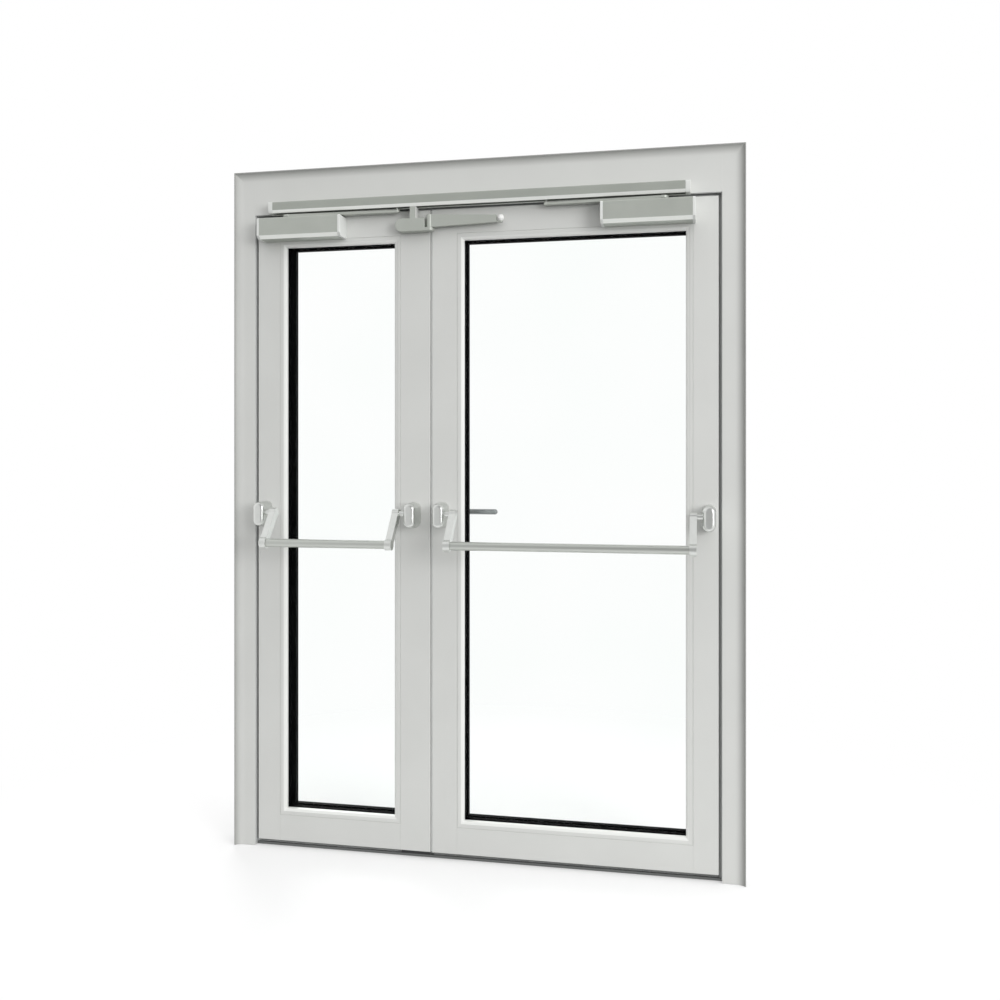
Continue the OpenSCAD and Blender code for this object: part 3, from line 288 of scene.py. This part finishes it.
def soften(mesh, edge, steps):
    """A mesh with its sharp edges eased by edge mm."""
    work = working(mesh)
    soft = work.modifiers.new("eased", "BEVEL")
    soft.width = edge * MM
    soft.segments = steps
    soft.limit_method = "ANGLE"
    soft.angle_limit = math.radians(35)
    soft.use_clamp_overlap = True
    soft.harden_normals = False
    done = settle(work)
    for face in done.polygons:
        face.use_smooth = True
    done.set_sharp_from_angle(angle=math.radians(40))
    work = working(done)
    flat = work.modifiers.new("flat_faces", "WEIGHTED_NORMAL")
    flat.keep_sharp = True
    return settle(work)


def merged(node):
    """A copy of a node's mesh with its loose triangles joined into whole faces."""
    mesh = nodes[node].data.copy()
    bm = bmesh.new()
    bm.from_mesh(mesh)
    bmesh.ops.remove_doubles(bm, verts=bm.verts, dist=0.01 * MM)
    bmesh.ops.dissolve_limit(bm, angle_limit=math.radians(0.6), verts=bm.verts, edges=bm.edges)
    bm.to_mesh(mesh)
    bm.free()
    return mesh


def ease(node, coat, slot, edge, steps=2, other=None, where=None):
    """The node's own shape with its sharp edges eased by edge mm, as an extrusion or a casting has them.
    other is a second finish, for the faces that where picks out."""
    done = soften(merged(node), edge, steps)
    done.materials.clear()
    done.materials.append(coat)
    if other:
        done.materials.append(other)
    for face in done.polygons:
        face.material_index = 1 if other and where(face) else 0
    return put(node + "_made", done, nodes[node]["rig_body"], slot, node)


def block(lo, hi):
    """A closed box between two corners."""
    mesh = bpy.data.meshes.new("block")
    bm = bmesh.new()
    bmesh.ops.create_cube(bm, size=1.0)
    for v in bm.verts:
        v.co = [lo[i] + (v.co[i] + 0.5) * (hi[i] - lo[i]) for i in range(3)]
    bm.to_mesh(mesh)
    bm.free()
    return mesh


def paint(node, coat):
    """A new finish for a node whose shape stays."""
    mesh = nodes[node].data
    mesh.materials.clear()
    mesh.materials.append(coat)


def low_edge(face):
    """The chamfer along the lower front."""
    return face.normal.z < -0.25 and face.normal.y < -0.4


def underside(face):
    """The chamfer along the lower front and the faces that look down."""
    return face.normal.z < -0.25


BLOCK_HEIGHT = 39.5 * MM
ARM_GAP = 2 * MM
HANGER_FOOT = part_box("selector_block")[0][2] + BLOCK_HEIGHT
HANGER_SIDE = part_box("selector_arm")[0][0] - ARM_GAP


def hanger(face):
    """The strap from the selector up to the rail."""
    return face.center.z > HANGER_FOOT and face.center.x < HANGER_SIDE


for name in ("frame_head", "jamb_left", "jamb_right"):
    ease(name, COAT, "powder_coat", 0.7)
for side in "lr":
    for name in ("hinge_stile", "meeting_stile", "top_rail", "bottom_rail"):
        ease(f"{side}_{name}", COAT, "powder_coat", 0.6)
    # The closer's lower front chamfer takes the lighter lacquer: a painted highlight.
    ease(f"{side}_closer", SILVER, "silver_hardware", 1.0, 3, PAINTED_HIGHLIGHT_SILVER, low_edge)
    ease(f"{side}_closer_caps", CAP, "light_plastic", 1.0, 3)
    ease(f"{side}_arm", SILVER, "silver_hardware", 1.0, 3)
    ease(f"{side}_arm_roller", BLACK_NYLON, "black_plastic", 0.6)
    ease(f"{side}_housings", CASTING, "silver_cast", 0.8)
    ease(f"{side}_levers", CASTING, "silver_cast", 5.0, 5)
    ease(f"{side}_bar", TUBE, "anodised_tube", 0.5)
    ease(f"{side}_hinges", PLATED, "steel", 0.6)
    paint(f"{side}_glass", GLASS)
paint("stop_gasket", GREY_SEAL)
ease("threshold", SILL, "dark_threshold", 0.8)
# The rail's downward faces take the lighter lacquer: a painted highlight.
ease("guide_rail", RAIL_SILVER, "silver_hardware", 0.6, 2, PAINTED_HIGHLIGHT_SILVER, underside)
ease("rail_caps", CAP, "light_plastic", 0.8)
ease("hinge_knuckles_left", PLATED, "steel", 0.6)
ease("hinge_knuckles_right", PLATED, "steel", 0.6)
ease("selector_block", SILVER, "silver_hardware", 1.5, 3, COAT, hanger)
ease("selector_arm", SILVER, "silver_hardware", 1.2, 3)
ease("selector_roller", NYLON, "white_plastic", 1.0, 3)
ease("l_keep", PLATED, "steel", 0.3)
ease("l_bolt_guides", BLACK_NYLON, "black_plastic", 0.5)
ease("l_bolt_top", PLATED, "steel", 1.0)
ease("l_bolt_bottom", PLATED, "steel", 1.0)
ease("r_lock", PLATED, "steel", 0.3)
ease("r_rose", STEEL, "steel", 1.2, 3)
ease("r_cylinder", STEEL, "steel", 1.0, 3)
ease("r_handle", STEEL, "steel", 0.4)
ease("r_latch", PLATED, "steel", 1.0)


# Trim that bends out of the frame's face

TRIM_REACH = 11 * MM
TRIM_SHEET = 2 * MM
BEND = 14 * MM
BEND_STEPS = 10
# How fast the painted shade deepens across the bend.
SHADE_RISE = 1.6
SUNK = 0.05 * MM


def trim_section():
    """The sheet trim's section as (out, y, shade) points: a wide bend from the frame's face to the splayed lip, where
    shade is how much painted shade the coat takes at that point.
    """
    lo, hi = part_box("trim_left")
    front = lo[1] + TRIM_REACH
    lip = hi[0] - lo[0] - TRIM_REACH
    radius = BEND / math.tan(math.radians(22.5))
    section = []
    for i in range(BEND_STEPS + 1):
        turn = math.radians(45) * i / BEND_STEPS
        section.append((radius * math.sin(turn) - BEND, front - radius * (1 - math.cos(turn)),
                        (i / BEND_STEPS) ** SHADE_RISE))
    return section + [
        (TRIM_REACH, lo[1], 1), (TRIM_REACH + lip, lo[1], 1), (TRIM_SHEET, front + lip - TRIM_SHEET, 1),
        (TRIM_SHEET, hi[1], 1), (0, hi[1], 1), (0, front + SUNK, 1)]


def trim(node, start, end):
    """A length of trim between two mitred ends. Each end is a foot or corner (x, z) and the way (dx, dz) that
    the section goes out there."""
    section = trim_section()
    count = len(section)
    mesh = bpy.data.meshes.new(node)
    verts = [(x + dx * out, y, z + dz * out) for (x, z), (dx, dz) in (start, end) for out, y, _ in section]
    faces = [(i, (i + 1) % count, count + (i + 1) % count, count + i) for i in range(count)]
    mesh.from_pydata(verts, [], faces + [tuple(range(count)), tuple(range(count, 2 * count))])
    bm = bmesh.new()
    bm.from_mesh(mesh)
    bmesh.ops.recalc_face_normals(bm, faces=bm.faces)
    bm.to_mesh(mesh)
    bm.free()
    # How far each point lies into the bend, which darkens the coat there as painted shade.
    depth = mesh.attributes.new("hollow", "FLOAT", "POINT")
    depth.data.foreach_set("value", [hollow for _, _, hollow in section] * 2)
    for face in mesh.polygons:
        face.use_smooth = True
    mesh.set_sharp_from_angle(angle=math.radians(30))
    mesh.materials.append(TRIM)
    put(node + "_made", mesh, "frame", "powder_coat", node)


side_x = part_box("trim_right")[0][0]
top_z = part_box("frame_head")[1][2]
left_foot, left_top = ((-side_x, 0), (-1, 0)), ((-side_x, top_z), (-1, 1))
right_foot, right_top = ((side_x, 0), (1, 0)), ((side_x, top_z), (1, 1))
trim("trim_left", left_foot, left_top)
trim("trim_head", left_top, right_top)
trim("trim_right", right_top, right_foot)


# Glazing with its finer sections


def ring(opening, section):
    """A mitred ring round an opening (x0, z0, x1, z1). The section is a closed line of (out, y) points,
    where out is the distance from the opening's edge away from the pane."""
    mesh = bpy.data.meshes.new("ring")
    verts = []
    for out, y in section:
        x0, z0, x1, z1 = opening[0] - out, opening[1] - out, opening[2] + out, opening[3] + out
        verts += [(x0, y, z0), (x1, y, z0), (x1, y, z1), (x0, y, z1)]
    count = len(section)
    faces = []
    for i in range(count):
        k = (i + 1) % count
        faces += [(4 * i + c, 4 * i + (c + 1) % 4, 4 * k + (c + 1) % 4, 4 * k + c) for c in range(4)]
    mesh.from_pydata(verts, [], faces)
    bm = bmesh.new()
    bm.from_mesh(mesh)
    bmesh.ops.recalc_face_normals(bm, faces=bm.faces)
    bm.to_mesh(mesh)
    bm.free()
    return mesh


BEAD = 20 * MM
BEAD_FLAT = 12 * MM
BEAD_FALL = 5 * MM
BEAD_GROOVE = 1.2 * MM
BEAD_EASE = 0.5
SEAL_LIP = 0.5 * MM
HELD = 6 * MM
PANE = 5 * MM
REAR_HELD = 16 * MM
REAR_SET_BACK = 0.5 * MM
REAR_REACH = {"l": (14 * MM, 4 * MM), "r": (4.5 * MM, 3 * MM)}


def glazing(side, body):
    """Beads with a flat edge, a shadow groove and an inner slope whose lighter coat is a painted highlight, and the
    black seals round the panes.
    REAR_REACH says how far the seal behind the panes comes in at the left upright and at the rails."""
    lo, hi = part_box(side + "_beads")
    opening = (lo[0] + BEAD, lo[2] + BEAD, hi[0] - BEAD, hi[2] - BEAD)
    front, back = lo[1], hi[1]
    glass_lo, glass_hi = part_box(side + "_glass")
    leaf_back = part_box(side + "_bottom_rail")[1][1]
    flat = BEAD - BEAD_FLAT
    bead = soften(ring(opening, [
        (0, back), (0, front + BEAD_FALL), (flat, front), (BEAD - BEAD_GROOVE, front),
        (BEAD - BEAD_GROOVE, front + BEAD_GROOVE), (BEAD, front + BEAD_GROOVE), (BEAD, back)]), BEAD_EASE, 2)
    bead.materials.append(COAT)
    bead.materials.append(PAINTED_HIGHLIGHT_COAT)
    middle = ((opening[0] + opening[2]) / 2, (opening[1] + opening[3]) / 2)
    slope = flat - BEAD_EASE * MM
    half = (middle[0] - opening[0] + slope, middle[1] - opening[1] + slope)
    # The inner slope takes the lighter coat: a painted highlight beside the pane.
    for face in bead.polygons:
        inner = abs(face.center.x - middle[0]) < half[0] and abs(face.center.z - middle[1]) < half[1]
        face.material_index = 1 if inner else 0
    put(side + "_beads_made", bead, body, "powder_coat", side + "_beads")
    seals = ring(opening, [(-SEAL_LIP, back), (-SEAL_LIP, glass_lo[1]), (HELD, glass_lo[1]), (HELD, back)])
    upright, rails = REAR_REACH[side]
    behind = (opening[0] + upright, opening[1] + rails, opening[2] - SEAL_LIP, opening[3] - rails)
    end = leaf_back - REAR_SET_BACK
    rear = ring(behind, [(0, glass_hi[1]), (0, end), (REAR_HELD, end), (REAR_HELD, glass_hi[1])])
    for name, mesh in (("_front_gasket", seals), ("_rear_gasket", rear)):
        mesh.materials.append(SEAL)
        put(side + name, mesh, body, "black_rubber", side + "_gasket")
    edge = ring(opening, [(-SEAL_LIP, glass_lo[1] + PANE), (-SEAL_LIP, glass_hi[1] - PANE),
                          (HELD, glass_hi[1] - PANE), (HELD, glass_lo[1] + PANE)])
    edge.materials.append(SPACER)
    put(side + "_edge_seal", edge, body, "black_rubber", side + "_spacer")


glazing("l", "left_leaf")
glazing("r", "right_leaf")


# Seal lips between the leaves

LIP_REACH = 4.8 * MM
lo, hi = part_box("r_meeting_seal")
lip = soften(block((hi[0] - LIP_REACH, lo[1], lo[2]), hi), 0.8, 2)
lip.materials.append(PALE_SEAL)
put("r_meeting_seal_made", lip, "right_leaf", "grey_rubber", "r_meeting_seal")
paint("l_meeting_seal", PALE_SEAL)


# Repeated pieces


def tree_with(name, inputs):
    """A geometry tree with named inputs, its input node, and the identifier of each input."""
    tree = bpy.data.node_groups.new(name, "GeometryNodeTree")
    tree.interface.new_socket("Geometry", in_out="INPUT", socket_type="NodeSocketGeometry")
    ids = {}
    for label, kind in inputs.items():
        ids[label] = tree.interface.new_socket(label, in_out="INPUT", socket_type="NodeSocket" + kind).identifier
    tree.interface.new_socket("Geometry", in_out="OUTPUT", socket_type="NodeSocketGeometry")
    return tree, add(tree, "NodeGroupInput").outputs, ids


def close_tree(tree, copies, material):
    """Ends a tree: the copies become real mesh with one material."""
    real = add(tree, "GeometryNodeRealizeInstances", inputs={"Geometry": copies})
    coat = add(tree, "GeometryNodeSetMaterial", inputs={"Geometry": real.outputs[0], "Material": material})
    add(tree, "NodeGroupOutput", inputs={"Geometry": coat.outputs[0]})


def grown(mesh, tree, ids, values):
    """The mesh that a tree makes from a base mesh and its input values."""
    work = working(mesh)
    grow = work.modifiers.new("grown", "NODES")
    grow.node_group = tree
    for label, value in values.items():
        grow[ids[label]] = value
    return settle(work)


def points(places):
    """A mesh of loose points."""
    mesh = bpy.data.meshes.new("points")
    mesh.from_pydata([tuple(place) for place in places], [], [])
    return mesh


def screw_tree():
    """Flat screw heads with a hexagon socket, one on each point, turned to face one way."""
    tree, sized, ids = tree_with("screw_heads", {
        "Head Radius": "Float", "Head Height": "Float", "Socket Radius": "Float", "Facing": "Vector",
        "Metal": "Material"})
    head = add(tree, "GeometryNodeMeshCylinder", inputs={
        "Vertices": 24, "Radius": sized["Head Radius"], "Depth": sized["Head Height"]})
    key = add(tree, "GeometryNodeMeshCylinder", inputs={
        "Vertices": 6, "Radius": sized["Socket Radius"], "Depth": sized["Head Height"]})
    lift = add(tree, "ShaderNodeVectorMath", {"operation": "SCALE"}, {
        0: (0.0, 0.0, 0.5), "Scale": sized["Head Height"]})
    raised = add(tree, "GeometryNodeTransform", inputs={
        "Geometry": key.outputs["Mesh"], "Translation": lift.outputs["Vector"]})
    cut = add(tree, "GeometryNodeMeshBoolean", {"operation": "DIFFERENCE"}, {
        "Mesh 1": head.outputs["Mesh"], "Mesh 2": raised.outputs["Geometry"]})
    turn = add(tree, "FunctionNodeEulerToRotation", inputs={"Euler": sized["Facing"]})
    copies = add(tree, "GeometryNodeInstanceOnPoints", inputs={
        "Points": sized["Geometry"], "Instance": cut.outputs["Mesh"], "Rotation": turn.outputs[0]})
    close_tree(tree, copies.outputs[0], sized["Metal"])
    return tree, ids


SCREWS = screw_tree()
TURNED = {"+z": (0, 0, 0), "+y": (math.radians(-90), 0, 0), "+x": (0, math.radians(90), 0),
          "-x": (0, math.radians(-90), 0)}


def screws(name, body, places, way, radius, height):
    """Screw heads of radius mm at places, standing height mm out of the face that looks that way."""
    made = grown(points(places), *SCREWS, {
        "Head Radius": radius * MM, "Head Height": 2 * height * MM, "Socket Radius": 0.5 * radius * MM,
        "Facing": TURNED[way], "Metal": PLATED})
    put(name, made, body, "steel")


HINGE_PLATE = 4 * MM
PLATE_HALF = 51 * MM
PLATE_SCREWS = (-40 * MM, -17 * MM, 17 * MM, 40 * MM)
HINGE_HEAD = (4.5, 0.7)
FOREND_HEAD = (3.5, 0.4)
SILL_HEAD = (5.0, 0.5)


def plate_places(node, x):
    """Screw places on the three plates of a hinge node, at one x."""
    lo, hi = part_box(node)
    rows = (lo[2] + PLATE_HALF, (lo[2] + hi[2]) / 2, hi[2] - PLATE_HALF)
    return [(x, lo[1] + HINGE_PLATE, z + dz) for z in rows for dz in PLATE_SCREWS]


FRAME_PLATE = 11.5 * MM
LEAF_PLATE = 9 * MM
right = plate_places("hinge_knuckles_right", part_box("hinge_knuckles_right")[1][0] - FRAME_PLATE)
left = plate_places("hinge_knuckles_left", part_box("hinge_knuckles_left")[0][0] + FRAME_PLATE)
screws("frame_hinge_screws", "frame", right + left, "+y", *HINGE_HEAD)
right = plate_places("r_hinges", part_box("r_hinges")[0][0] + LEAF_PLATE)
screws("r_hinge_screws", "right_leaf", right, "+y", *HINGE_HEAD)
left = plate_places("l_hinges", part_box("l_hinges")[1][0] - LEAF_PLATE)
screws("l_hinge_screws", "left_leaf", left, "+y", *HINGE_HEAD)

FOREND_SCREW = 12 * MM
lo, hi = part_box("r_lock")
mid = (lo[1] + hi[1]) / 2
screws("r_forend_screws", "right_leaf",
       [(lo[0], mid, lo[2] + FOREND_SCREW), (lo[0], mid, hi[2] - FOREND_SCREW)], "-x", *FOREND_HEAD)
lo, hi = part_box("l_keep")
screws("l_keep_screws", "left_leaf",
       [(hi[0], mid, lo[2] + FOREND_SCREW), (hi[0], mid, hi[2] - FOREND_SCREW)], "+x", *FOREND_HEAD)

SILL_SCREWS = 6
SILL_END = 60 * MM
lo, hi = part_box("threshold")
step = (hi[0] - lo[0] - 2 * SILL_END) / (SILL_SCREWS - 1)
screws("sill_screws", "frame",
       [(lo[0] + SILL_END + i * step, (lo[1] + hi[1]) / 2, hi[2]) for i in range(SILL_SCREWS)],
       "+z", *SILL_HEAD)


def brush_tree():
    """Rows of bristles hanging from a rectangle, each leaning a little its own way."""
    tree, sized, ids = tree_with("brush_bristles", {
        "Length": "Float", "Depth": "Float", "Columns": "Int", "Rows": "Int", "Bristle Radius": "Float",
        "Bristle Height": "Float", "Lean": "Vector", "Place": "Vector", "Fibre": "Material"})
    roots = add(tree, "GeometryNodeMeshGrid", inputs={
        "Size X": sized["Length"], "Size Y": sized["Depth"],
        "Vertices X": sized["Columns"], "Vertices Y": sized["Rows"]})
    placed = add(tree, "GeometryNodeTransform", inputs={
        "Geometry": roots.outputs["Mesh"], "Translation": sized["Place"]})
    fibre = add(tree, "GeometryNodeMeshCone", inputs={
        "Vertices": 5, "Radius Top": sized["Bristle Radius"], "Radius Bottom": sized["Bristle Radius"],
        "Depth": sized["Bristle Height"]})
    down = add(tree, "ShaderNodeVectorMath", {"operation": "SCALE"}, {
        0: (0.0, 0.0, -1.0), "Scale": sized["Bristle Height"]})
    hung = add(tree, "GeometryNodeTransform", inputs={
        "Geometry": fibre.outputs["Mesh"], "Translation": down.outputs["Vector"]})
    back = add(tree, "ShaderNodeVectorMath", {"operation": "SCALE"}, {0: sized["Lean"], "Scale": -1.0})
    lean = add(tree, "FunctionNodeRandomValue", {"data_type": "FLOAT_VECTOR"}, {
        0: back.outputs["Vector"], 1: sized["Lean"], "Seed": 7})
    turn = add(tree, "FunctionNodeEulerToRotation", inputs={"Euler": lean.outputs[0]})
    copies = add(tree, "GeometryNodeInstanceOnPoints", inputs={
        "Points": placed.outputs["Geometry"], "Instance": hung.outputs["Geometry"], "Rotation": turn.outputs[0]})
    close_tree(tree, copies.outputs[0], sized["Fibre"])
    return tree, ids


BRUSH = brush_tree()
BRISTLE_PITCH = 1.6 * MM
BRISTLE_ROWS = 4
BRISTLE_RADIUS = 0.4 * MM
BRISTLE_LEAN = (0.12, 0.12, 0.0)
BRISTLE_INSET = (3 * MM, 4 * MM)
HOLDER = 4 * MM


def brush(side, body):
    """The brush under a leaf: a moulded holder with its bristles."""
    node = side + "_bottom_seal"
    lo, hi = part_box(node)
    holder = soften(block((lo[0], lo[1], hi[2] - HOLDER), hi), 0.6, 2)
    holder.materials.append(BRISTLE)
    put(side + "_brush_holder", holder, body, "black_rubber", node)
    length = hi[0] - lo[0] - BRISTLE_INSET[0]
    depth = hi[1] - lo[1] - BRISTLE_INSET[1]
    made = grown(points([(0, 0, 0)]), *BRUSH, {
        "Length": length, "Depth": depth, "Columns": int(length / BRISTLE_PITCH), "Rows": BRISTLE_ROWS,
        "Bristle Radius": BRISTLE_RADIUS, "Bristle Height": hi[2] - lo[2] - HOLDER, "Lean": BRISTLE_LEAN,
        "Place": ((lo[0] + hi[0]) / 2, (lo[1] + hi[1]) / 2, hi[2] - HOLDER), "Fibre": BRISTLE})
    put(side + "_bristles", made, body, "black_rubber", node)


brush("l", "left_leaf")
brush("r", "right_leaf")


# Keyway of the outside cylinder

KEYWAY = (1.6 * MM, 1.0 * MM, 9 * MM)
KEYWAY_IN = 0.4 * MM
lo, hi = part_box("r_cylinder")
middle = ((lo[0] + hi[0]) / 2, hi[1] - KEYWAY_IN, (lo[2] + hi[2]) / 2)
slot_lo = [middle[i] - KEYWAY[i] / 2 for i in range(3)]
slot_hi = [middle[i] + KEYWAY[i] / 2 for i in range(3)]
keyway = soften(block(slot_lo, slot_hi), 0.2, 2)
keyway.materials.append(BLACK_NYLON)
put("r_keyway", keyway, "right_leaf", "steel")


# Floor, light and camera

KEY_WAY = (0.66, -0.38, 0.65)
FRONT_WAY = (0.45, -0.84, 0.30)
FLOOR_HALF = 14
FLOOR_DROP = 1 * MM


def studio():
    """White surround for the camera and glass, and soft light from the right, the front and above for the rest.
    Metal mirrors the same surround with a grey card in front, so that its faces and edges part."""
    world = bpy.data.worlds.new("studio")
    bpy.context.scene.world = world
    world.use_nodes = True
    t = world.node_tree
    t.nodes.clear()
    ray = add(t, "ShaderNodeLightPath")
    way = add(t, "ShaderNodeTexCoord").outputs["Generated"]
    to_key = add(t, "ShaderNodeVectorMath", {"operation": "DOT_PRODUCT"}, {0: way, 1: KEY_WAY})
    level = add(t, "ShaderNodeMapRange", inputs={
        "Value": to_key.outputs["Value"], "From Min": -0.20, "From Max": 1.0, "To Min": 0.08, "To Max": 1.64})
    soft = add(t, "ShaderNodeBackground", inputs={"Color": (1, 1, 1, 1), "Strength": level.outputs[0]})
    to_front = add(t, "ShaderNodeVectorMath", {"operation": "DOT_PRODUCT"}, {0: way, 1: FRONT_WAY})
    card = add(t, "ShaderNodeMapRange", inputs={
        "Value": to_front.outputs["Value"], "From Min": 0.55, "From Max": 0.90, "To Min": 1.0, "To Max": 0.35})
    mirrored = add(t, "ShaderNodeBackground", inputs={"Color": (1, 1, 1, 1), "Strength": card.outputs[0]})
    white = add(t, "ShaderNodeBackground", inputs={"Color": (1, 1, 1, 1), "Strength": 1.0})
    clear = add(t, "ShaderNodeMath", {"operation": "MAXIMUM"}, {
        0: ray.outputs["Is Camera Ray"], 1: ray.outputs["Is Transmission Ray"]})
    shiny = add(t, "ShaderNodeMixShader", inputs={
        0: ray.outputs["Is Glossy Ray"], 1: soft.outputs[0], 2: mirrored.outputs[0]})
    mix = add(t, "ShaderNodeMixShader", inputs={0: clear.outputs[0], 1: shiny.outputs[0], 2: white.outputs[0]})
    add(t, "ShaderNodeOutputWorld", inputs={"Surface": mix.outputs[0]})


def pale_floor():
    """A wide white floor just under the sill, with the door's shadow on it, that whitens out away from the door."""
    mat, t = blank("pale_floor")
    ray = add(t, "ShaderNodeLightPath")
    clear = add(t, "ShaderNodeMath", {"operation": "MAXIMUM"}, {
        0: ray.outputs["Is Camera Ray"], 1: ray.outputs["Is Transmission Ray"]})
    shown = add(t, "ShaderNodeMath", {"operation": "MAXIMUM"}, {0: clear.outputs[0], 1: ray.outputs["Is Glossy Ray"]})
    where = add(t, "ShaderNodeTexCoord").outputs["Object"]
    away = add(t, "ShaderNodeVectorMath", {"operation": "LENGTH"}, {0: where})
    fade = add(t, "ShaderNodeMapRange", {"interpolation_type": "SMOOTHSTEP"}, {
        "Value": away.outputs["Value"], "From Min": 0.6, "From Max": 1.9, "To Min": 0.35, "To Max": 1.0})
    near = add(t, "ShaderNodeBsdfDiffuse", inputs={"Color": (0.95, 0.95, 0.95, 1)})
    # For reflections the floor glows, dimmer far in front of the door and towards the right: a painted reflection,
    # standing in for a grey card.
    bounced = add(t, "ShaderNodeMath", {"operation": "SUBTRACT"}, {
        0: ray.outputs["Is Glossy Ray"], 1: clear.outputs[0]})
    place = add(t, "ShaderNodeSeparateXYZ", inputs={"Vector": where})
    card = add(t, "ShaderNodeMapRange", inputs={
        "Value": place.outputs["X"], "From Min": -5.0, "From Max": 0.5, "To Min": 1.0, "To Max": 0.38})
    far = add(t, "ShaderNodeMapRange", inputs={
        "Value": place.outputs["Y"], "From Min": -5.0, "From Max": -1.5, "To Min": card.outputs[0], "To Max": 1.0})
    level = add(t, "ShaderNodeMapRange", inputs={
        "Value": bounced.outputs[0], "To Min": 1.0, "To Max": far.outputs[0]})
    white = add(t, "ShaderNodeEmission", inputs={"Color": (1, 1, 1, 1), "Strength": level.outputs[0]})
    seen = add(t, "ShaderNodeMixShader", inputs={0: fade.outputs[0], 1: near.outputs[0], 2: white.outputs[0]})
    # Bounced light meets a duller grey floor, lighter near the door than away from it: a painted pool of light.
    pool = add(t, "ShaderNodeMapRange", inputs={
        "Value": away.outputs["Value"], "From Min": 0.8, "From Max": 2.4, "To Min": 0.46, "To Max": 0.20})
    dull = add(t, "ShaderNodeBsdfDiffuse", inputs={"Color": pool.outputs[0]})
    mix = add(t, "ShaderNodeMixShader", inputs={0: shown.outputs[0], 1: dull.outputs[0], 2: seen.outputs[0]})
    add(t, "ShaderNodeOutputMaterial", inputs={"Surface": mix.outputs[0]})
    mesh = bpy.data.meshes.new("floor")
    r, z = FLOOR_HALF, -FLOOR_DROP
    mesh.from_pydata([(-r, -r, z), (r, -r, z), (r, r, z), (-r, r, z)], [], [(0, 1, 2, 3)])
    mesh.materials.append(mat)
    floor = bpy.data.objects.new("floor", mesh)
    bpy.context.scene.collection.objects.link(floor)


def lamp(name, at, aim, size, watts):
    """A square soft box that is not seen itself."""
    data = bpy.data.lights.new(name, "AREA")
    data.shape = "SQUARE"
    data.size = size
    data.energy = watts
    box = bpy.data.objects.new(name, data)
    box.location = at
    box.visible_camera = False
    box.visible_transmission = False
    box.rotation_euler = (Vector(aim) - Vector(at)).to_track_quat("-Z", "Y").to_euler()
    bpy.context.scene.collection.objects.link(box)


studio()
pale_floor()
lamp("key_right", (4.6, -4.4, 2.2), (0.0, 0.0, 0.8), 2.4, 140)
lamp("fill_behind", (-3.2, 5.0, 3.0), (0.0, 0.0, 1.0), 3.0, 170)

eye = bpy.data.cameras.new("photo_view")
eye.sensor_width = 36
eye.lens = 35.93
eye.shift_y = -0.0415
camera = bpy.data.objects.new("photo_view", eye)
camera.location = (0.6575, -2.9605, 1.2159)
camera.rotation_euler = (math.radians(90), 0, math.radians(11.39))
bpy.context.scene.collection.objects.link(camera)
bpy.context.scene.camera = camera
bpy.context.scene.view_settings.view_transform = "Standard"
